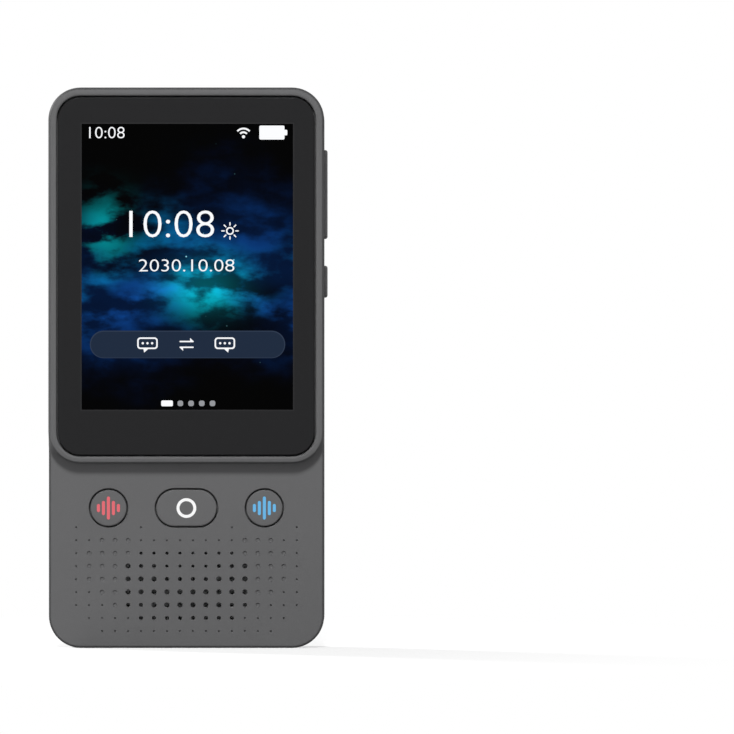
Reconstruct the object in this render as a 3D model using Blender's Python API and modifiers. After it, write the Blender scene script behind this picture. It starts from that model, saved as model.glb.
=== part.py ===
"""Handheld voice translator, modelled upright: front towards -Y, top towards +Z.

The origin is under the middle of the base. All lengths are in metres.
"""

import math

import bpy
import bmesh
from mathutils import Matrix, Vector

# Casing
BODY_WIDTH = 0.0592
BODY_HEIGHT = 0.1204
BODY_DEPTH = 0.0140
CORNER_RADIUS = 0.0069
WALL = 0.0015
EDGE_ROUND = 0.0006
GAP = 0.0003
OVERRUN = 0.004

# Raised screen frame
STEP_DEPTH = 0.0020
FRAME_BOTTOM = 0.0400
FRAME_RADIUS = 0.0056
RIM_WIDTH = 0.0012
SLOPE_LENGTH = 0.0028
GLASS_SEAT_DEPTH = 0.0019

# Rear curves, measured inwards from the outline, and the seam's place behind the port
REAR_SIDE_CURVE = 0.0122
REAR_TOP_CURVE = 0.0054
REAR_BOTTOM_CURVE = 0.0096
LIP_THICKNESS = 0.0008
LIP_REACH = 0.0010
SEAM_CLEARANCE = 0.0008

# Camera
CAMERA_DROP = 0.0254
CAMERA_RISE = 0.0016
CAMERA_SHOULDER_DROP = 0.0005
CAMERA_SKIRT_RADIUS = 0.0108
CAMERA_RING_RADIUS = 0.0081
CAMERA_RING_WIDTH = 0.0007
CAMERA_WINDOW_THICKNESS = 0.0006
CAMERA_WINDOW_DROP = 0.0002
CAMERA_BARREL_RADIUS = 0.0039
CAMERA_BARREL_LENGTH = 0.0026
CAMERA_LENS_RADIUS = 0.0023
CAMERA_LENS_THICKNESS = 0.0006
CAMERA_LENS_DROP = 0.0001
CAMERA_MODULE_SIZE = 0.0090

# Glass and display
GLASS_THICKNESS = 0.0008
GLASS_DROP = 0.0002
ADHESIVE_THICKNESS = 0.0003
DISPLAY_MARGIN = 0.0036
DISPLAY_BROW = 0.0028
DISPLAY_CHIN = 0.0070
PANEL_THICKNESS = 0.0009
BACKLIGHT_THICKNESS = 0.0009

# Front keys
KEY_DROP = 0.0099
KEY_SPACING = 0.01675
KEY_RADIUS = 0.0039
HOME_KEY_WIDTH = 0.0130
HOME_KEY_HEIGHT = 0.00785
KEY_PROUD = 0.0004
KEY_EDGE = 0.0004
KEY_FLANGE_WIDTH = 0.0007
KEY_FLANGE_THICKNESS = 0.0006
KEY_POST_RADIUS = 0.0012
KEY_POST_LENGTH = 0.0004
KEY_TRAVEL = 0.00035
PLUNGER_RADIUS = 0.0009
PLUNGER_LENGTH = 0.0011
SWITCH_WIDTH = 0.0045
SWITCH_FLOOR = 0.0003
SWITCH_RIM_DROP = 0.0005

# Speaker grille
GRILLE_PITCH = 0.00279
GRILLE_BOTTOM = 0.00365
BIG_HOLE = 0.00052
MIDDLE_HOLE = 0.00040
SMALL_HOLE = 0.00030

# Hole radii of each pierced row, lowest row first, from the middle outwards
GRILLE_ROWS = (
    (MIDDLE_HOLE, MIDDLE_HOLE, MIDDLE_HOLE, MIDDLE_HOLE),
    (BIG_HOLE, BIG_HOLE, BIG_HOLE, MIDDLE_HOLE, MIDDLE_HOLE),
    (BIG_HOLE, BIG_HOLE, BIG_HOLE, BIG_HOLE, BIG_HOLE),
    (MIDDLE_HOLE, MIDDLE_HOLE, BIG_HOLE, BIG_HOLE, BIG_HOLE),
    (SMALL_HOLE, SMALL_HOLE, MIDDLE_HOLE, MIDDLE_HOLE, BIG_HOLE),
    (SMALL_HOLE, SMALL_HOLE, SMALL_HOLE, SMALL_HOLE),
)

# Side keys
ROCKER_DROP = 0.0228
ROCKER_LENGTH = 0.0192
POWER_DROP = 0.0416
POWER_LENGTH = 0.0069
SIDE_KEY_WIDTH = 0.0026
SIDE_KEY_PROUD = 0.0007
SIDE_KEY_SETBACK = 0.0012
SIDE_FLANGE_WIDTH = 0.0008
SIDE_FLANGE_THICKNESS = 0.0006
SIDE_FLANGE_CLEARANCE = 0.0006
SIDE_POST_LENGTH = 0.0005
SIDE_POST_SIZE = 0.0014
SIDE_SWITCH_OFFSET = 0.0060
SIDE_SWITCH_LENGTH = 0.0036
SIDE_SWITCH_DEPTH = 0.0014
SIDE_BUTTON_DEPTH = 0.0004
SIDE_BRACKET_THICKNESS = 0.0011
SIDE_BRACKET_DEPTH = 0.0044
FULCRUM_WIDTH = 0.0012

# Strap bar in the top edge
STRAP_LEFT = 0.0037
STRAP_RIGHT = 0.0155
STRAP_DROP = 0.0020
STRAP_BAR_RADIUS = 0.0005
STRAP_POCKET_EDGE = 0.0007
STRAP_POCKET_DROP = 0.0038
STRAP_BAR_SEAT = 0.0009
STRAP_WALL = 0.0012

# Mid frame and boards
FRAME_CLEARANCE = 0.0005
MID_FRAME_THICKNESS = 0.0010
MID_FRAME_SIDE_CLEARANCE = 0.0023
MID_FRAME_RISE = 0.0015
BOARD_THICKNESS = 0.0010
MAIN_BOARD_TAIL = 0.0047
MAIN_BOARD_TOP_DROP = 0.0044
KEY_BOARD_THICKNESS = 0.0008
KEY_BOARD_HEIGHT = 0.0140
KEY_BOARD_CLEARANCE = 0.00295
KEY_BOARD_LEG_CLEARANCE = 0.00365
BOSS_RADIUS = 0.0019

# Screws
SCREW_SHANK_RADIUS = 0.0006
SCREW_HEAD_RADIUS = 0.0012
SCREW_HEAD_HEIGHT = 0.0008
SCREW_SOCKET_RADIUS = 0.0005
SCREW_SOCKET_DEPTH = 0.0004
SCREW_BITE = 0.0008
SCREW_EDGE = 0.0014

# Battery
BATTERY_MARGIN = 0.0010
BATTERY_SIDE_CLEARANCE = 0.0069
BATTERY_RADIUS = 0.0015
BATTERY_PAD_THICKNESS = 0.0002
BATTERY_PAD_MARGIN = 0.0030
FOAM_MARGIN = 0.0080
FOAM_THICKNESS = 0.0007
LEAD_WIDTH = 0.0050
LEAD_THICKNESS = 0.0008
CONNECTOR_LENGTH = 0.0030
CONNECTOR_THICKNESS = 0.0012
BATTERY_CONNECTOR_INSET = 0.0096

# Ribbons
RIBBON_THICKNESS = 0.00015
DISPLAY_RIBBON_WIDTH = 0.0100
DISPLAY_RIBBON_CLEARANCE = 0.0035
DISPLAY_RIBBON_LAP = 0.0025
LINK_RIBBON_WIDTH = 0.0040
LINK_RIBBON_BEND = 0.0050

# Speaker
SPEAKER_WIDTH = 0.0300
SPEAKER_HEIGHT = 0.0165
SPEAKER_RAISE = 0.0025
SPEAKER_BACK_STEP = 0.0002
SPEAKER_RADIUS = 0.0030
SPEAKER_RIM = 0.0022
SPEAKER_WELL_DEPTH = 0.0016
CONE_THICKNESS = 0.0005
CONE_RISE = 0.0004
MESH_THICKNESS = 0.0002
GASKET_THICKNESS = 0.0004
GASKET_WIDTH = 0.0012

# USB-C connector in the top edge
USB_WIDTH = 0.0090
USB_DEPTH = 0.0032
USB_LENGTH = 0.0072
USB_WALL = 0.0003
USB_SHIFT = -0.0090
USB_SETBACK = 0.0018
USB_BLOCK_LENGTH = 0.0015
TONGUE_WIDTH = 0.0066
TONGUE_THICKNESS = 0.0007
TONGUE_DROP = 0.0010

# Small parts on the boards
SHIELD_WIDTH = 0.0120
SHIELD_MARGIN = 0.0037
SHIELD_DEPTH = 0.0018
MICROPHONE_WIDTH = 0.0030
MICROPHONE_HEIGHT = 0.0024
MICROPHONE_DEPTH = 0.0010
MICROPHONE_HOLE = 0.0005
TOP_MICROPHONE_INSET = 0.0046
ANTENNA_LENGTH = 0.0460
ANTENNA_WIDTH = 0.0030
ANTENNA_THICKNESS = 0.0002

# Smoothness of arcs
ARC_STEPS = 6
TURN_STEPS = 36
CURVE_STEPS = 7

# Planes worked out from the sizes, front to back
HALF_WIDTH = BODY_WIDTH / 2
CAMERA_HEIGHT = BODY_HEIGHT - CAMERA_DROP
INNER_HALF = HALF_WIDTH - WALL
FRONT_PLANE = -(BODY_DEPTH + CAMERA_RISE) / 2
REAR_PLANE = FRONT_PLANE + BODY_DEPTH
CAMERA_PLANE = REAR_PLANE + CAMERA_RISE
KEYPAD_PLANE = FRONT_PLANE + STEP_DEPTH
INNER_FRONT = KEYPAD_PLANE + WALL
GLASS_SEAT = FRONT_PLANE + GLASS_SEAT_DEPTH
LIP_INSET = WALL + GAP
REAR_INSET = LIP_INSET + LIP_THICKNESS
REAR_INNER = REAR_PLANE - WALL

GLASS_HALF = HALF_WIDTH - EDGE_ROUND - RIM_WIDTH - GAP
GLASS_TOP = BODY_HEIGHT - EDGE_ROUND - RIM_WIDTH - GAP
GLASS_BOTTOM = FRAME_BOTTOM + RIM_WIDTH + GAP
GLASS_RADIUS = CORNER_RADIUS - EDGE_ROUND - RIM_WIDTH - GAP
GLASS_FRONT = FRONT_PLANE + GLASS_DROP
GLASS_BACK = GLASS_FRONT + GLASS_THICKNESS
DISPLAY_HALF = GLASS_HALF - DISPLAY_MARGIN
DISPLAY_TOP = GLASS_TOP - DISPLAY_BROW
DISPLAY_BOTTOM = GLASS_BOTTOM + DISPLAY_CHIN
PANEL_FRONT = GLASS_BACK + GAP
PANEL_BACK = PANEL_FRONT + PANEL_THICKNESS
BACKLIGHT_FRONT = PANEL_BACK + GAP / 2
BACKLIGHT_BACK = BACKLIGHT_FRONT + BACKLIGHT_THICKNESS

MID_FRAME_FRONT = INNER_FRONT + FRAME_CLEARANCE
MID_FRAME_BACK = MID_FRAME_FRONT + MID_FRAME_THICKNESS
MID_FRAME_HALF = INNER_HALF - MID_FRAME_SIDE_CLEARANCE
MID_FRAME_TOP = BODY_HEIGHT - WALL - GAP
MID_FRAME_BOTTOM = FRAME_BOTTOM + MID_FRAME_RISE
MAIN_BOARD_FRONT = MID_FRAME_BACK + GAP
MAIN_BOARD_BACK = MAIN_BOARD_FRONT + BOARD_THICKNESS
USB_PLANE = MAIN_BOARD_FRONT + USB_SETBACK
SEAM_PLANE = USB_PLANE + USB_DEPTH / 2 + GAP + SEAM_CLEARANCE
SEAM_FRONT = SEAM_PLANE - GAP / 2
SEAM_BACK = SEAM_PLANE + GAP / 2
MAIN_BOARD_TOP = MID_FRAME_TOP - MAIN_BOARD_TOP_DROP
MAIN_BOARD_BOTTOM = CAMERA_HEIGHT - CAMERA_MODULE_SIZE / 2 - MAIN_BOARD_TAIL
COMPONENT_FRONT = MAIN_BOARD_BACK + GAP

KEY_HEIGHT = FRAME_BOTTOM - KEY_DROP
KEY_FRONT = KEYPAD_PLANE - KEY_PROUD
FLANGE_FRONT = INNER_FRONT + GAP
FLANGE_BACK = FLANGE_FRONT + KEY_FLANGE_THICKNESS
POST_BACK = FLANGE_BACK + KEY_POST_LENGTH
PLUNGER_FRONT = POST_BACK + GAP
PLUNGER_BACK = PLUNGER_FRONT + PLUNGER_LENGTH
SWITCH_FRONT = PLUNGER_FRONT + SWITCH_RIM_DROP
SWITCH_WELL_END = PLUNGER_BACK + KEY_TRAVEL + GAP / 2
SWITCH_BACK = SWITCH_WELL_END + SWITCH_FLOOR
KEY_BOARD_FRONT = SWITCH_BACK + GAP
KEY_BOARD_BACK = KEY_BOARD_FRONT + KEY_BOARD_THICKNESS
KEY_BOARD_TOP = KEY_HEIGHT + KEY_BOARD_HEIGHT / 2
KEY_BOARD_BOTTOM = KEY_HEIGHT - KEY_BOARD_HEIGHT / 2
FLANGE_RADIUS = KEY_RADIUS + GAP + KEY_FLANGE_WIDTH
HOME_FLANGE_HALF = HOME_KEY_WIDTH / 2 + GAP + KEY_FLANGE_WIDTH
KEY_BOARD_HALF = INNER_HALF - KEY_BOARD_CLEARANCE
KEY_BOARD_LEG = SPEAKER_WIDTH / 2 + KEY_BOARD_LEG_CLEARANCE
BOSS_SHIFT = (HOME_FLANGE_HALF + KEY_SPACING - FLANGE_RADIUS) / 2
BOSS_HEIGHT = KEY_BOARD_BOTTOM + BOSS_RADIUS
BOSS_BACK = KEY_BOARD_FRONT - GAP

BATTERY_HALF = INNER_HALF - BATTERY_SIDE_CLEARANCE
BATTERY_TOP = MAIN_BOARD_BOTTOM - GAP - CONNECTOR_LENGTH / 2
BATTERY_BOTTOM = MID_FRAME_BOTTOM + BATTERY_MARGIN
PAD_FRONT = MID_FRAME_BACK + GAP
PAD_BACK = PAD_FRONT + BATTERY_PAD_THICKNESS
BATTERY_FRONT = PAD_BACK + GAP
FOAM_BACK = REAR_INNER - GAP
FOAM_FRONT = FOAM_BACK - FOAM_THICKNESS
BATTERY_BACK = FOAM_FRONT - GAP

WINDOW_BACK = CAMERA_PLANE - CAMERA_WINDOW_DROP
WINDOW_FRONT = WINDOW_BACK - CAMERA_WINDOW_THICKNESS
CAMERA_SEAT = WINDOW_FRONT - GAP
WINDOW_RADIUS = CAMERA_RING_RADIUS - CAMERA_RING_WIDTH - GAP
BARREL_BACK = CAMERA_SEAT - CAMERA_LENS_DROP
BARREL_FRONT = BARREL_BACK - CAMERA_BARREL_LENGTH
LENS_BACK = BARREL_BACK - CAMERA_LENS_DROP
LENS_FRONT = LENS_BACK - CAMERA_LENS_THICKNESS

ROCKER_CENTRE = BODY_HEIGHT - ROCKER_DROP
POWER_CENTRE = BODY_HEIGHT - POWER_DROP
SIDE_KEY_OUT = HALF_WIDTH + SIDE_KEY_PROUD
SIDE_FLANGE_OUT = INNER_HALF - SIDE_FLANGE_CLEARANCE
SIDE_FLANGE_IN = SIDE_FLANGE_OUT - SIDE_FLANGE_THICKNESS
SIDE_POST_IN = SIDE_FLANGE_IN - SIDE_POST_LENGTH
SIDE_BUTTON_OUT = SIDE_POST_IN - GAP
SIDE_SWITCH_OUT = SIDE_BUTTON_OUT - SIDE_BUTTON_DEPTH
SIDE_SWITCH_IN = SIDE_SWITCH_OUT - SIDE_SWITCH_DEPTH
BRACKET_OUT = SIDE_SWITCH_IN - GAP
BRACKET_IN = BRACKET_OUT - SIDE_BRACKET_THICKNESS
BRACKET_FRONT = MID_FRAME_BACK + GAP
BRACKET_BACK = BRACKET_FRONT + SIDE_BRACKET_DEPTH
SIDE_KEY_PLANE = MID_FRAME_BACK + SIDE_KEY_SETBACK
MAIN_BOARD_RIGHT = BRACKET_IN - GAP
MAIN_BOARD_LEFT = -MID_FRAME_HALF
TOP_MICROPHONE_SHIFT = MAIN_BOARD_RIGHT - TOP_MICROPHONE_INSET
DISPLAY_RIBBON_SIDE = TOP_MICROPHONE_SHIFT - MICROPHONE_WIDTH / 2 - DISPLAY_RIBBON_CLEARANCE
DISPLAY_RIBBON_SHIFT = DISPLAY_RIBBON_SIDE - DISPLAY_RIBBON_WIDTH / 2
BATTERY_CONNECTOR_SHIFT = MAIN_BOARD_RIGHT - BATTERY_CONNECTOR_INSET

MESH_FRONT = INNER_FRONT + GAP
MESH_BACK = MESH_FRONT + MESH_THICKNESS
GASKET_FRONT = MESH_BACK + GAP
GASKET_BACK = GASKET_FRONT + GASKET_THICKNESS
SPEAKER_FRONT = GASKET_BACK + GAP
SPEAKER_BACK = SEAM_PLANE + SPEAKER_BACK_STEP
SPEAKER_BOTTOM = WALL + SPEAKER_RAISE
SPEAKER_TOP = SPEAKER_BOTTOM + SPEAKER_HEIGHT

USB_TOP = BODY_HEIGHT - GAP
USB_BOTTOM = USB_TOP - USB_LENGTH
STRAP_HEIGHT = BODY_HEIGHT - STRAP_DROP
STRAP_PLANE = (SEAM_PLANE + REAR_PLANE) / 2

FACING = {
    "front": (math.radians(90), 0, 0),
    "side": (math.radians(90), 0, math.radians(90)),
    "top": (0, 0, 0),
    "rear": (math.radians(-90), 0, 0),
}


def clear_scene():
    """Remove what the scene holds, so that the script starts from nothing."""
    for item in list(bpy.data.objects):
        bpy.data.objects.remove(item, do_unlink=True)


def make_collection(name):
    """Add a collection to the scene."""
    collection = bpy.data.collections.new(name)
    bpy.context.scene.collection.children.link(collection)
    return collection


def make_material(name, colour, roughness, metallic=0.0, alpha=1.0):
    """Make a Principled material."""
    material = bpy.data.materials.new(name)
    material.use_nodes = True
    shader = material.node_tree.nodes["Principled BSDF"]
    shader.inputs["Base Color"].default_value = (*colour, 1.0)
    shader.inputs["Roughness"].default_value = roughness
    shader.inputs["Metallic"].default_value = metallic
    shader.inputs["Alpha"].default_value = alpha
    material.diffuse_color = (*colour, alpha)
    return material


def mesh_object(name, mesh, finish=None):
    """Put a mesh in the scene: a part where it has a finish, a cutter where it has none."""
    item = bpy.data.objects.new(name, mesh)
    if finish is None:
        CUTTERS.objects.link(item)
        item.hide_render = True
        item.display_type = "WIRE"
    else:
        PARTS.objects.link(item)
        mesh.materials.clear()
        mesh.materials.append(finish)
    return item


def finish_mesh(name, shape, finish=None):
    """Turn a bmesh into an object, with its faces pointing out."""
    bmesh.ops.recalc_face_normals(shape, faces=shape.faces)
    mesh = bpy.data.meshes.new(name)
    shape.to_mesh(mesh)
    shape.free()
    return mesh_object(name, mesh, finish)


def rounded_outline(left, right, bottom, top, radius, low_radius=None):
    """Points of a rectangle with round corners, anticlockwise from its lower right corner."""
    low = radius if low_radius is None else low_radius
    corners = (
        (right - low, bottom + low, low, -90),
        (right - radius, top - radius, radius, 0),
        (left + radius, top - radius, radius, 90),
        (left + low, bottom + low, low, 180),
    )
    points = []
    for centre_x, centre_y, arc_radius, start in corners:
        for step in range(ARC_STEPS + 1):
            angle = math.radians(start + 90 * step / ARC_STEPS)
            points.append((centre_x + arc_radius * math.cos(angle), centre_y + arc_radius * math.sin(angle)))
    return points


def centred_outline(width, height, radius, centre=(0, 0)):
    """Rounded rectangle about a centre."""
    across, up = centre
    return rounded_outline(across - width / 2, across + width / 2, up - height / 2, up + height / 2, radius)


def plate(name, outline, low, high, facing="front", finish=None):
    """A flat outline given a thickness: a 2D curve with an extrude, made a mesh.

    low and high are world places along the direction that the plate faces across.
    """
    curve = bpy.data.curves.new(name, "CURVE")
    curve.dimensions = "2D"
    curve.fill_mode = "BOTH"
    curve.extrude = (high - low) / 2
    spline = curve.splines.new("POLY")
    spline.points.add(len(outline) - 1)
    for point, (across, up) in zip(spline.points, outline):
        point.co = (across, up, 0, 1)
    spline.use_cyclic_u = True
    source = bpy.data.objects.new(name, curve)
    bpy.context.scene.collection.objects.link(source)
    middle = (low + high) / 2
    source.location = {"front": (0, middle, 0), "side": (middle, 0, 0), "top": (0, 0, middle)}[facing]
    source.rotation_euler = FACING[facing]
    bpy.context.view_layer.update()
    evaluated = source.evaluated_get(bpy.context.evaluated_depsgraph_get())
    mesh = bpy.data.meshes.new_from_object(evaluated)
    place = source.matrix_world.copy()
    bpy.data.objects.remove(source)
    shape = bmesh.new()
    shape.from_mesh(mesh)
    bmesh.ops.remove_doubles(shape, verts=shape.verts, dist=GAP / 1000)
    bmesh.ops.dissolve_limit(shape, angle_limit=math.radians(0.1), verts=shape.verts, edges=shape.edges)
    item = finish_mesh(name, shape, finish)
    item.matrix_world = place
    return item


def box(name, low, high, finish=None):
    """A box between two corners."""
    shape = bmesh.new()
    bmesh.ops.create_cube(shape, size=1)
    size = Vector(high) - Vector(low)
    bmesh.ops.scale(shape, vec=size, verts=shape.verts)
    item = finish_mesh(name, shape, finish)
    item.location = (Vector(low) + Vector(high)) / 2
    return item


def rod(name, centre, radius, length, facing="front", finish=None, sides=16):
    """A cylinder about a centre, its axis along the way that it faces."""
    shape = bmesh.new()
    bmesh.ops.create_cone(shape, cap_ends=True, segments=sides, radius1=radius, radius2=radius, depth=length)
    item = finish_mesh(name, shape, finish)
    item.location = centre
    item.rotation_euler = FACING[facing]
    return item


def turned(name, profile, place, facing, finish=None, steps=TURN_STEPS):
    """A profile of (radius, height) points turned about its axis by a Screw modifier."""
    mesh = bpy.data.meshes.new(name)
    points = [(radius, 0, height) for radius, height in profile]
    edges = [(index, index + 1) for index in range(len(points) - 1)]
    closed = profile[0][0] > 0
    if closed:
        edges.append((len(points) - 1, 0))
    mesh.from_pydata(points, edges, [])
    item = mesh_object(name, mesh, finish)
    item.location = place
    item.rotation_euler = FACING[facing]
    screw = item.modifiers.new("Turn", "SCREW")
    screw.steps = steps
    screw.render_steps = steps
    screw.use_merge_vertices = True
    screw.merge_threshold = GAP / 30
    screw.use_smooth_shade = True
    return item


def loft(name, rings, finish=None):
    """Join outlines of equal point counts, each at its own depth, and cap both ends."""
    shape = bmesh.new()
    loops = []
    for depth, outline in rings:
        loops.append([shape.verts.new((across, depth, up)) for across, up in outline])
    for first, second in zip(loops, loops[1:]):
        for index in range(len(first)):
            after = (index + 1) % len(first)
            shape.faces.new((first[index], first[after], second[after]))
            shape.faces.new((first[index], second[after], second[index]))
    shape.faces.new(loops[0])
    shape.faces.new(reversed(loops[-1]))
    return finish_mesh(name, shape, finish)


def combine(target, tool, operation="DIFFERENCE"):
    """Cut or join a tool into a part."""
    modifier = target.modifiers.new(tool.name, "BOOLEAN")
    modifier.object = tool
    modifier.operation = operation
    modifier.solver = "EXACT"


def soften(item, width, segments=1):
    """Round the edges of a part."""
    bevel = item.modifiers.new("Round", "BEVEL")
    bevel.width = width
    bevel.segments = segments
    bevel.limit_method = "ANGLE"
    bevel.angle_limit = math.radians(40)
    return item


def ribbon(name, path, width, shift, finish):
    """A flat flexible strip: a path of (y, z) points drawn out along X, with a Solidify wall."""
    shape = bmesh.new()
    columns = []
    for edge in (shift - width / 2, shift + width / 2):
        columns.append([shape.verts.new((edge, depth, up)) for depth, up in path])
    left, right = columns
    for index in range(len(path) - 1):
        shape.faces.new((left[index], right[index], right[index + 1], left[index + 1]))
    mesh = bpy.data.meshes.new(name)
    shape.to_mesh(mesh)
    shape.free()
    item = mesh_object(name, mesh, finish)
    wall = item.modifiers.new("Wall", "SOLIDIFY")
    wall.thickness = RIBBON_THICKNESS
    wall.offset = 0
    wall.use_even_offset = True
    return item


def body_outline(inset):
    """Outline of the casing seen from the front, moved inwards."""
    half = HALF_WIDTH - inset
    return rounded_outline(-half, half, inset, BODY_HEIGHT - inset, CORNER_RADIUS - inset)


def quarter_round(plane, radius, outward, steps=3):
    """Depths and insets of a rounded edge that ends flush with a plane."""
    for step in range(steps + 1):
        angle = math.radians(90 * step / steps)
        yield plane + outward * radius * (1 - math.sin(angle)), radius * (1 - math.cos(angle))


def frame_outline(drop, inset):
    """Outline of the raised screen frame; drop lowers its bottom edge down the slope."""
    return rounded_outline(
        -HALF_WIDTH + inset,
        HALF_WIDTH - inset,
        FRAME_BOTTOM - drop,
        BODY_HEIGHT - inset,
        CORNER_RADIUS - inset,
        FRAME_RADIUS,
    )


def raised_frame():
    """The raised part round the screen, with the hollow slope at its foot."""
    rings = [(KEYPAD_PLANE + EDGE_ROUND, frame_outline(SLOPE_LENGTH, 0))]
    slope_depth = STEP_DEPTH - EDGE_ROUND
    for step in range(CURVE_STEPS + 1):
        angle = math.radians(90 * step / CURVE_STEPS)
        drop = SLOPE_LENGTH * (1 - math.sin(angle)) + EDGE_ROUND * math.sin(angle)
        rings.append((KEYPAD_PLANE - slope_depth * (1 - math.cos(angle)), frame_outline(drop, 0)))
    for depth, inset in list(quarter_round(FRONT_PLANE, EDGE_ROUND, 1))[1:]:
        rings.append((depth, frame_outline(EDGE_ROUND - inset, inset)))
    return loft("frame_tool", rings)


def drill(shape, across, up, front, back, radius, sides):
    """Add a cylinder that runs from front to back to a cutter."""
    place = Matrix.Translation((across, (front + back) / 2, up)) @ Matrix.Rotation(math.radians(90), 4, "X")
    size = {"segments": sides, "radius1": radius, "radius2": radius, "depth": back - front}
    bmesh.ops.create_cone(shape, cap_ends=True, matrix=place, **size)


def grille_holes():
    """Cutter of the pierced holes: the sizes grow towards the middle of the pattern."""
    shape = bmesh.new()
    front = KEYPAD_PLANE - OVERRUN
    back = INNER_FRONT + OVERRUN
    for row, radii in enumerate(GRILLE_ROWS, start=1):
        up = GRILLE_BOTTOM + GRILLE_PITCH * row
        for column, radius in enumerate(radii):
            across = GRILLE_PITCH * (column + 0.5)
            drill(shape, across, up, front, back, radius, 8)
            drill(shape, -across, up, front, back, radius, 8)
    return finish_mesh("grille_cutter", shape)


def side_key_cutter(name, centre, length):
    """Slot through the right wall for a side key."""
    size = (SIDE_KEY_WIDTH + 2 * GAP, length + 2 * GAP)
    outline = centred_outline(*size, SIDE_KEY_WIDTH / 2, (SIDE_KEY_PLANE, centre))
    return plate(name, outline, INNER_HALF - WALL, HALF_WIDTH + OVERRUN, "side")


def usb_outline(inset):
    """Stadium outline of the USB-C connector in plan, moved inwards."""
    depth = USB_DEPTH - 2 * inset
    return centred_outline(USB_WIDTH - 2 * inset, depth, depth / 2 - GAP / 10, (USB_SHIFT, USB_PLANE))


def frame_screw_places():
    """Places of the screws that hold the mid frame."""
    across = MID_FRAME_HALF - SCREW_HEAD_RADIUS - SCREW_EDGE
    low = MID_FRAME_BOTTOM + SCREW_EDGE + SCREW_HEAD_RADIUS
    high = MID_FRAME_TOP - SCREW_EDGE
    return [(-across, low), (across, low), (-across, high), (across, high)]


def board_screw_places():
    """Places of the screws that hold the main board."""
    low = MAIN_BOARD_BOTTOM + SCREW_EDGE + SCREW_HEAD_RADIUS / 2
    high = MAIN_BOARD_TOP - SCREW_EDGE - SCREW_HEAD_RADIUS / 2
    edge = SCREW_EDGE + SCREW_HEAD_RADIUS / 2
    return [(MAIN_BOARD_LEFT + edge, high), (MAIN_BOARD_RIGHT - edge, low)]


def screw_holes(name, places, front, back, radius=SCREW_SHANK_RADIUS + GAP):
    """Cutter of round holes at a list of places."""
    shape = bmesh.new()
    for across, up in places:
        drill(shape, across, up, front, back, radius, 12)
    return finish_mesh(name, shape)


def boss_places():
    """Places of the bosses that carry the key board."""
    return [(-BOSS_SHIFT, BOSS_HEIGHT), (BOSS_SHIFT, BOSS_HEIGHT)]


def lower_microphone_place():
    """Middle of the lower microphone, on the leg of the key board."""
    return (KEY_BOARD_LEG + KEY_BOARD_HALF) / 2, WALL + SPEAKER_RAISE + MICROPHONE_HEIGHT / 2


def front_shell(finish):
    """Front shell: casing front, raised screen frame, seats and holes."""
    rings = [(SEAM_FRONT, body_outline(0))]
    rings += [(depth, body_outline(inset)) for depth, inset in quarter_round(KEYPAD_PLANE, EDGE_ROUND, 1)]
    shell = loft("front_shell", rings, finish)
    combine(shell, raised_frame(), "UNION")

    inner = rounded_outline(-INNER_HALF, INNER_HALF, WALL, BODY_HEIGHT - WALL, CORNER_RADIUS - WALL)
    combine(shell, plate("cavity_cutter", inner, INNER_FRONT, SEAM_FRONT + OVERRUN))
    seat = rounded_outline(
        -GLASS_HALF - GAP, GLASS_HALF + GAP, GLASS_BOTTOM - GAP, GLASS_TOP + GAP, GLASS_RADIUS + GAP
    )
    combine(shell, plate("glass_seat_cutter", seat, FRONT_PLANE - OVERRUN, GLASS_SEAT))
    window_low = (-DISPLAY_HALF - GAP, GLASS_SEAT - WALL, DISPLAY_BOTTOM - GAP)
    window_high = (DISPLAY_HALF + GAP, INNER_FRONT + WALL, DISPLAY_TOP + GAP)
    combine(shell, box("window_cutter", window_low, window_high))

    for side, (across, up) in zip(("left", "right"), boss_places()):
        length = BOSS_BACK - INNER_FRONT + WALL / 2
        centre = (across, BOSS_BACK - length / 2, up)
        combine(shell, rod(side + "_boss_tool", centre, BOSS_RADIUS, length), "UNION")
    combine(shell, screw_holes("boss_hole_cutter", boss_places(), INNER_FRONT, BOSS_BACK + OVERRUN))
    frame_bite = (INNER_FRONT - SCREW_BITE, INNER_FRONT + OVERRUN)
    combine(shell, screw_holes("frame_hole_cutter", frame_screw_places(), *frame_bite))

    key_reach = WALL + 2 * OVERRUN
    for side, name in ((-1, "left"), (1, "right")):
        centre = (side * KEY_SPACING, KEYPAD_PLANE, KEY_HEIGHT)
        cutter = rod(name + "_key_cutter", centre, KEY_RADIUS + GAP, key_reach, sides=TURN_STEPS)
        combine(shell, cutter)
    pill = centred_outline(
        HOME_KEY_WIDTH + 2 * GAP, HOME_KEY_HEIGHT + 2 * GAP, HOME_KEY_HEIGHT / 2 + GAP, (0, KEY_HEIGHT)
    )
    combine(shell, plate("home_key_cutter", pill, KEYPAD_PLANE - OVERRUN, INNER_FRONT + WALL))
    combine(shell, grille_holes())

    combine(shell, side_key_cutter("rocker_cutter", ROCKER_CENTRE, ROCKER_LENGTH))
    combine(shell, side_key_cutter("power_cutter", POWER_CENTRE, POWER_LENGTH))
    port = usb_outline(-GAP)
    combine(shell, plate("usb_cutter", port, BODY_HEIGHT - 2 * WALL, BODY_HEIGHT + OVERRUN, "top"))
    hole_length = WALL + 2 * OVERRUN
    sound_plane = COMPONENT_FRONT + MICROPHONE_DEPTH / 2
    top_hole = (TOP_MICROPHONE_SHIFT, sound_plane, BODY_HEIGHT)
    combine(shell, rod("top_sound_cutter", top_hole, MICROPHONE_HOLE, hole_length, "top", sides=8))
    low_across = lower_microphone_place()[0]
    low_hole = (low_across, KEY_BOARD_FRONT - MICROPHONE_DEPTH, 0)
    combine(shell, rod("low_sound_cutter", low_hole, MICROPHONE_HOLE, 2 * WALL + GAP, "top", sides=8))
    return shell


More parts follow.
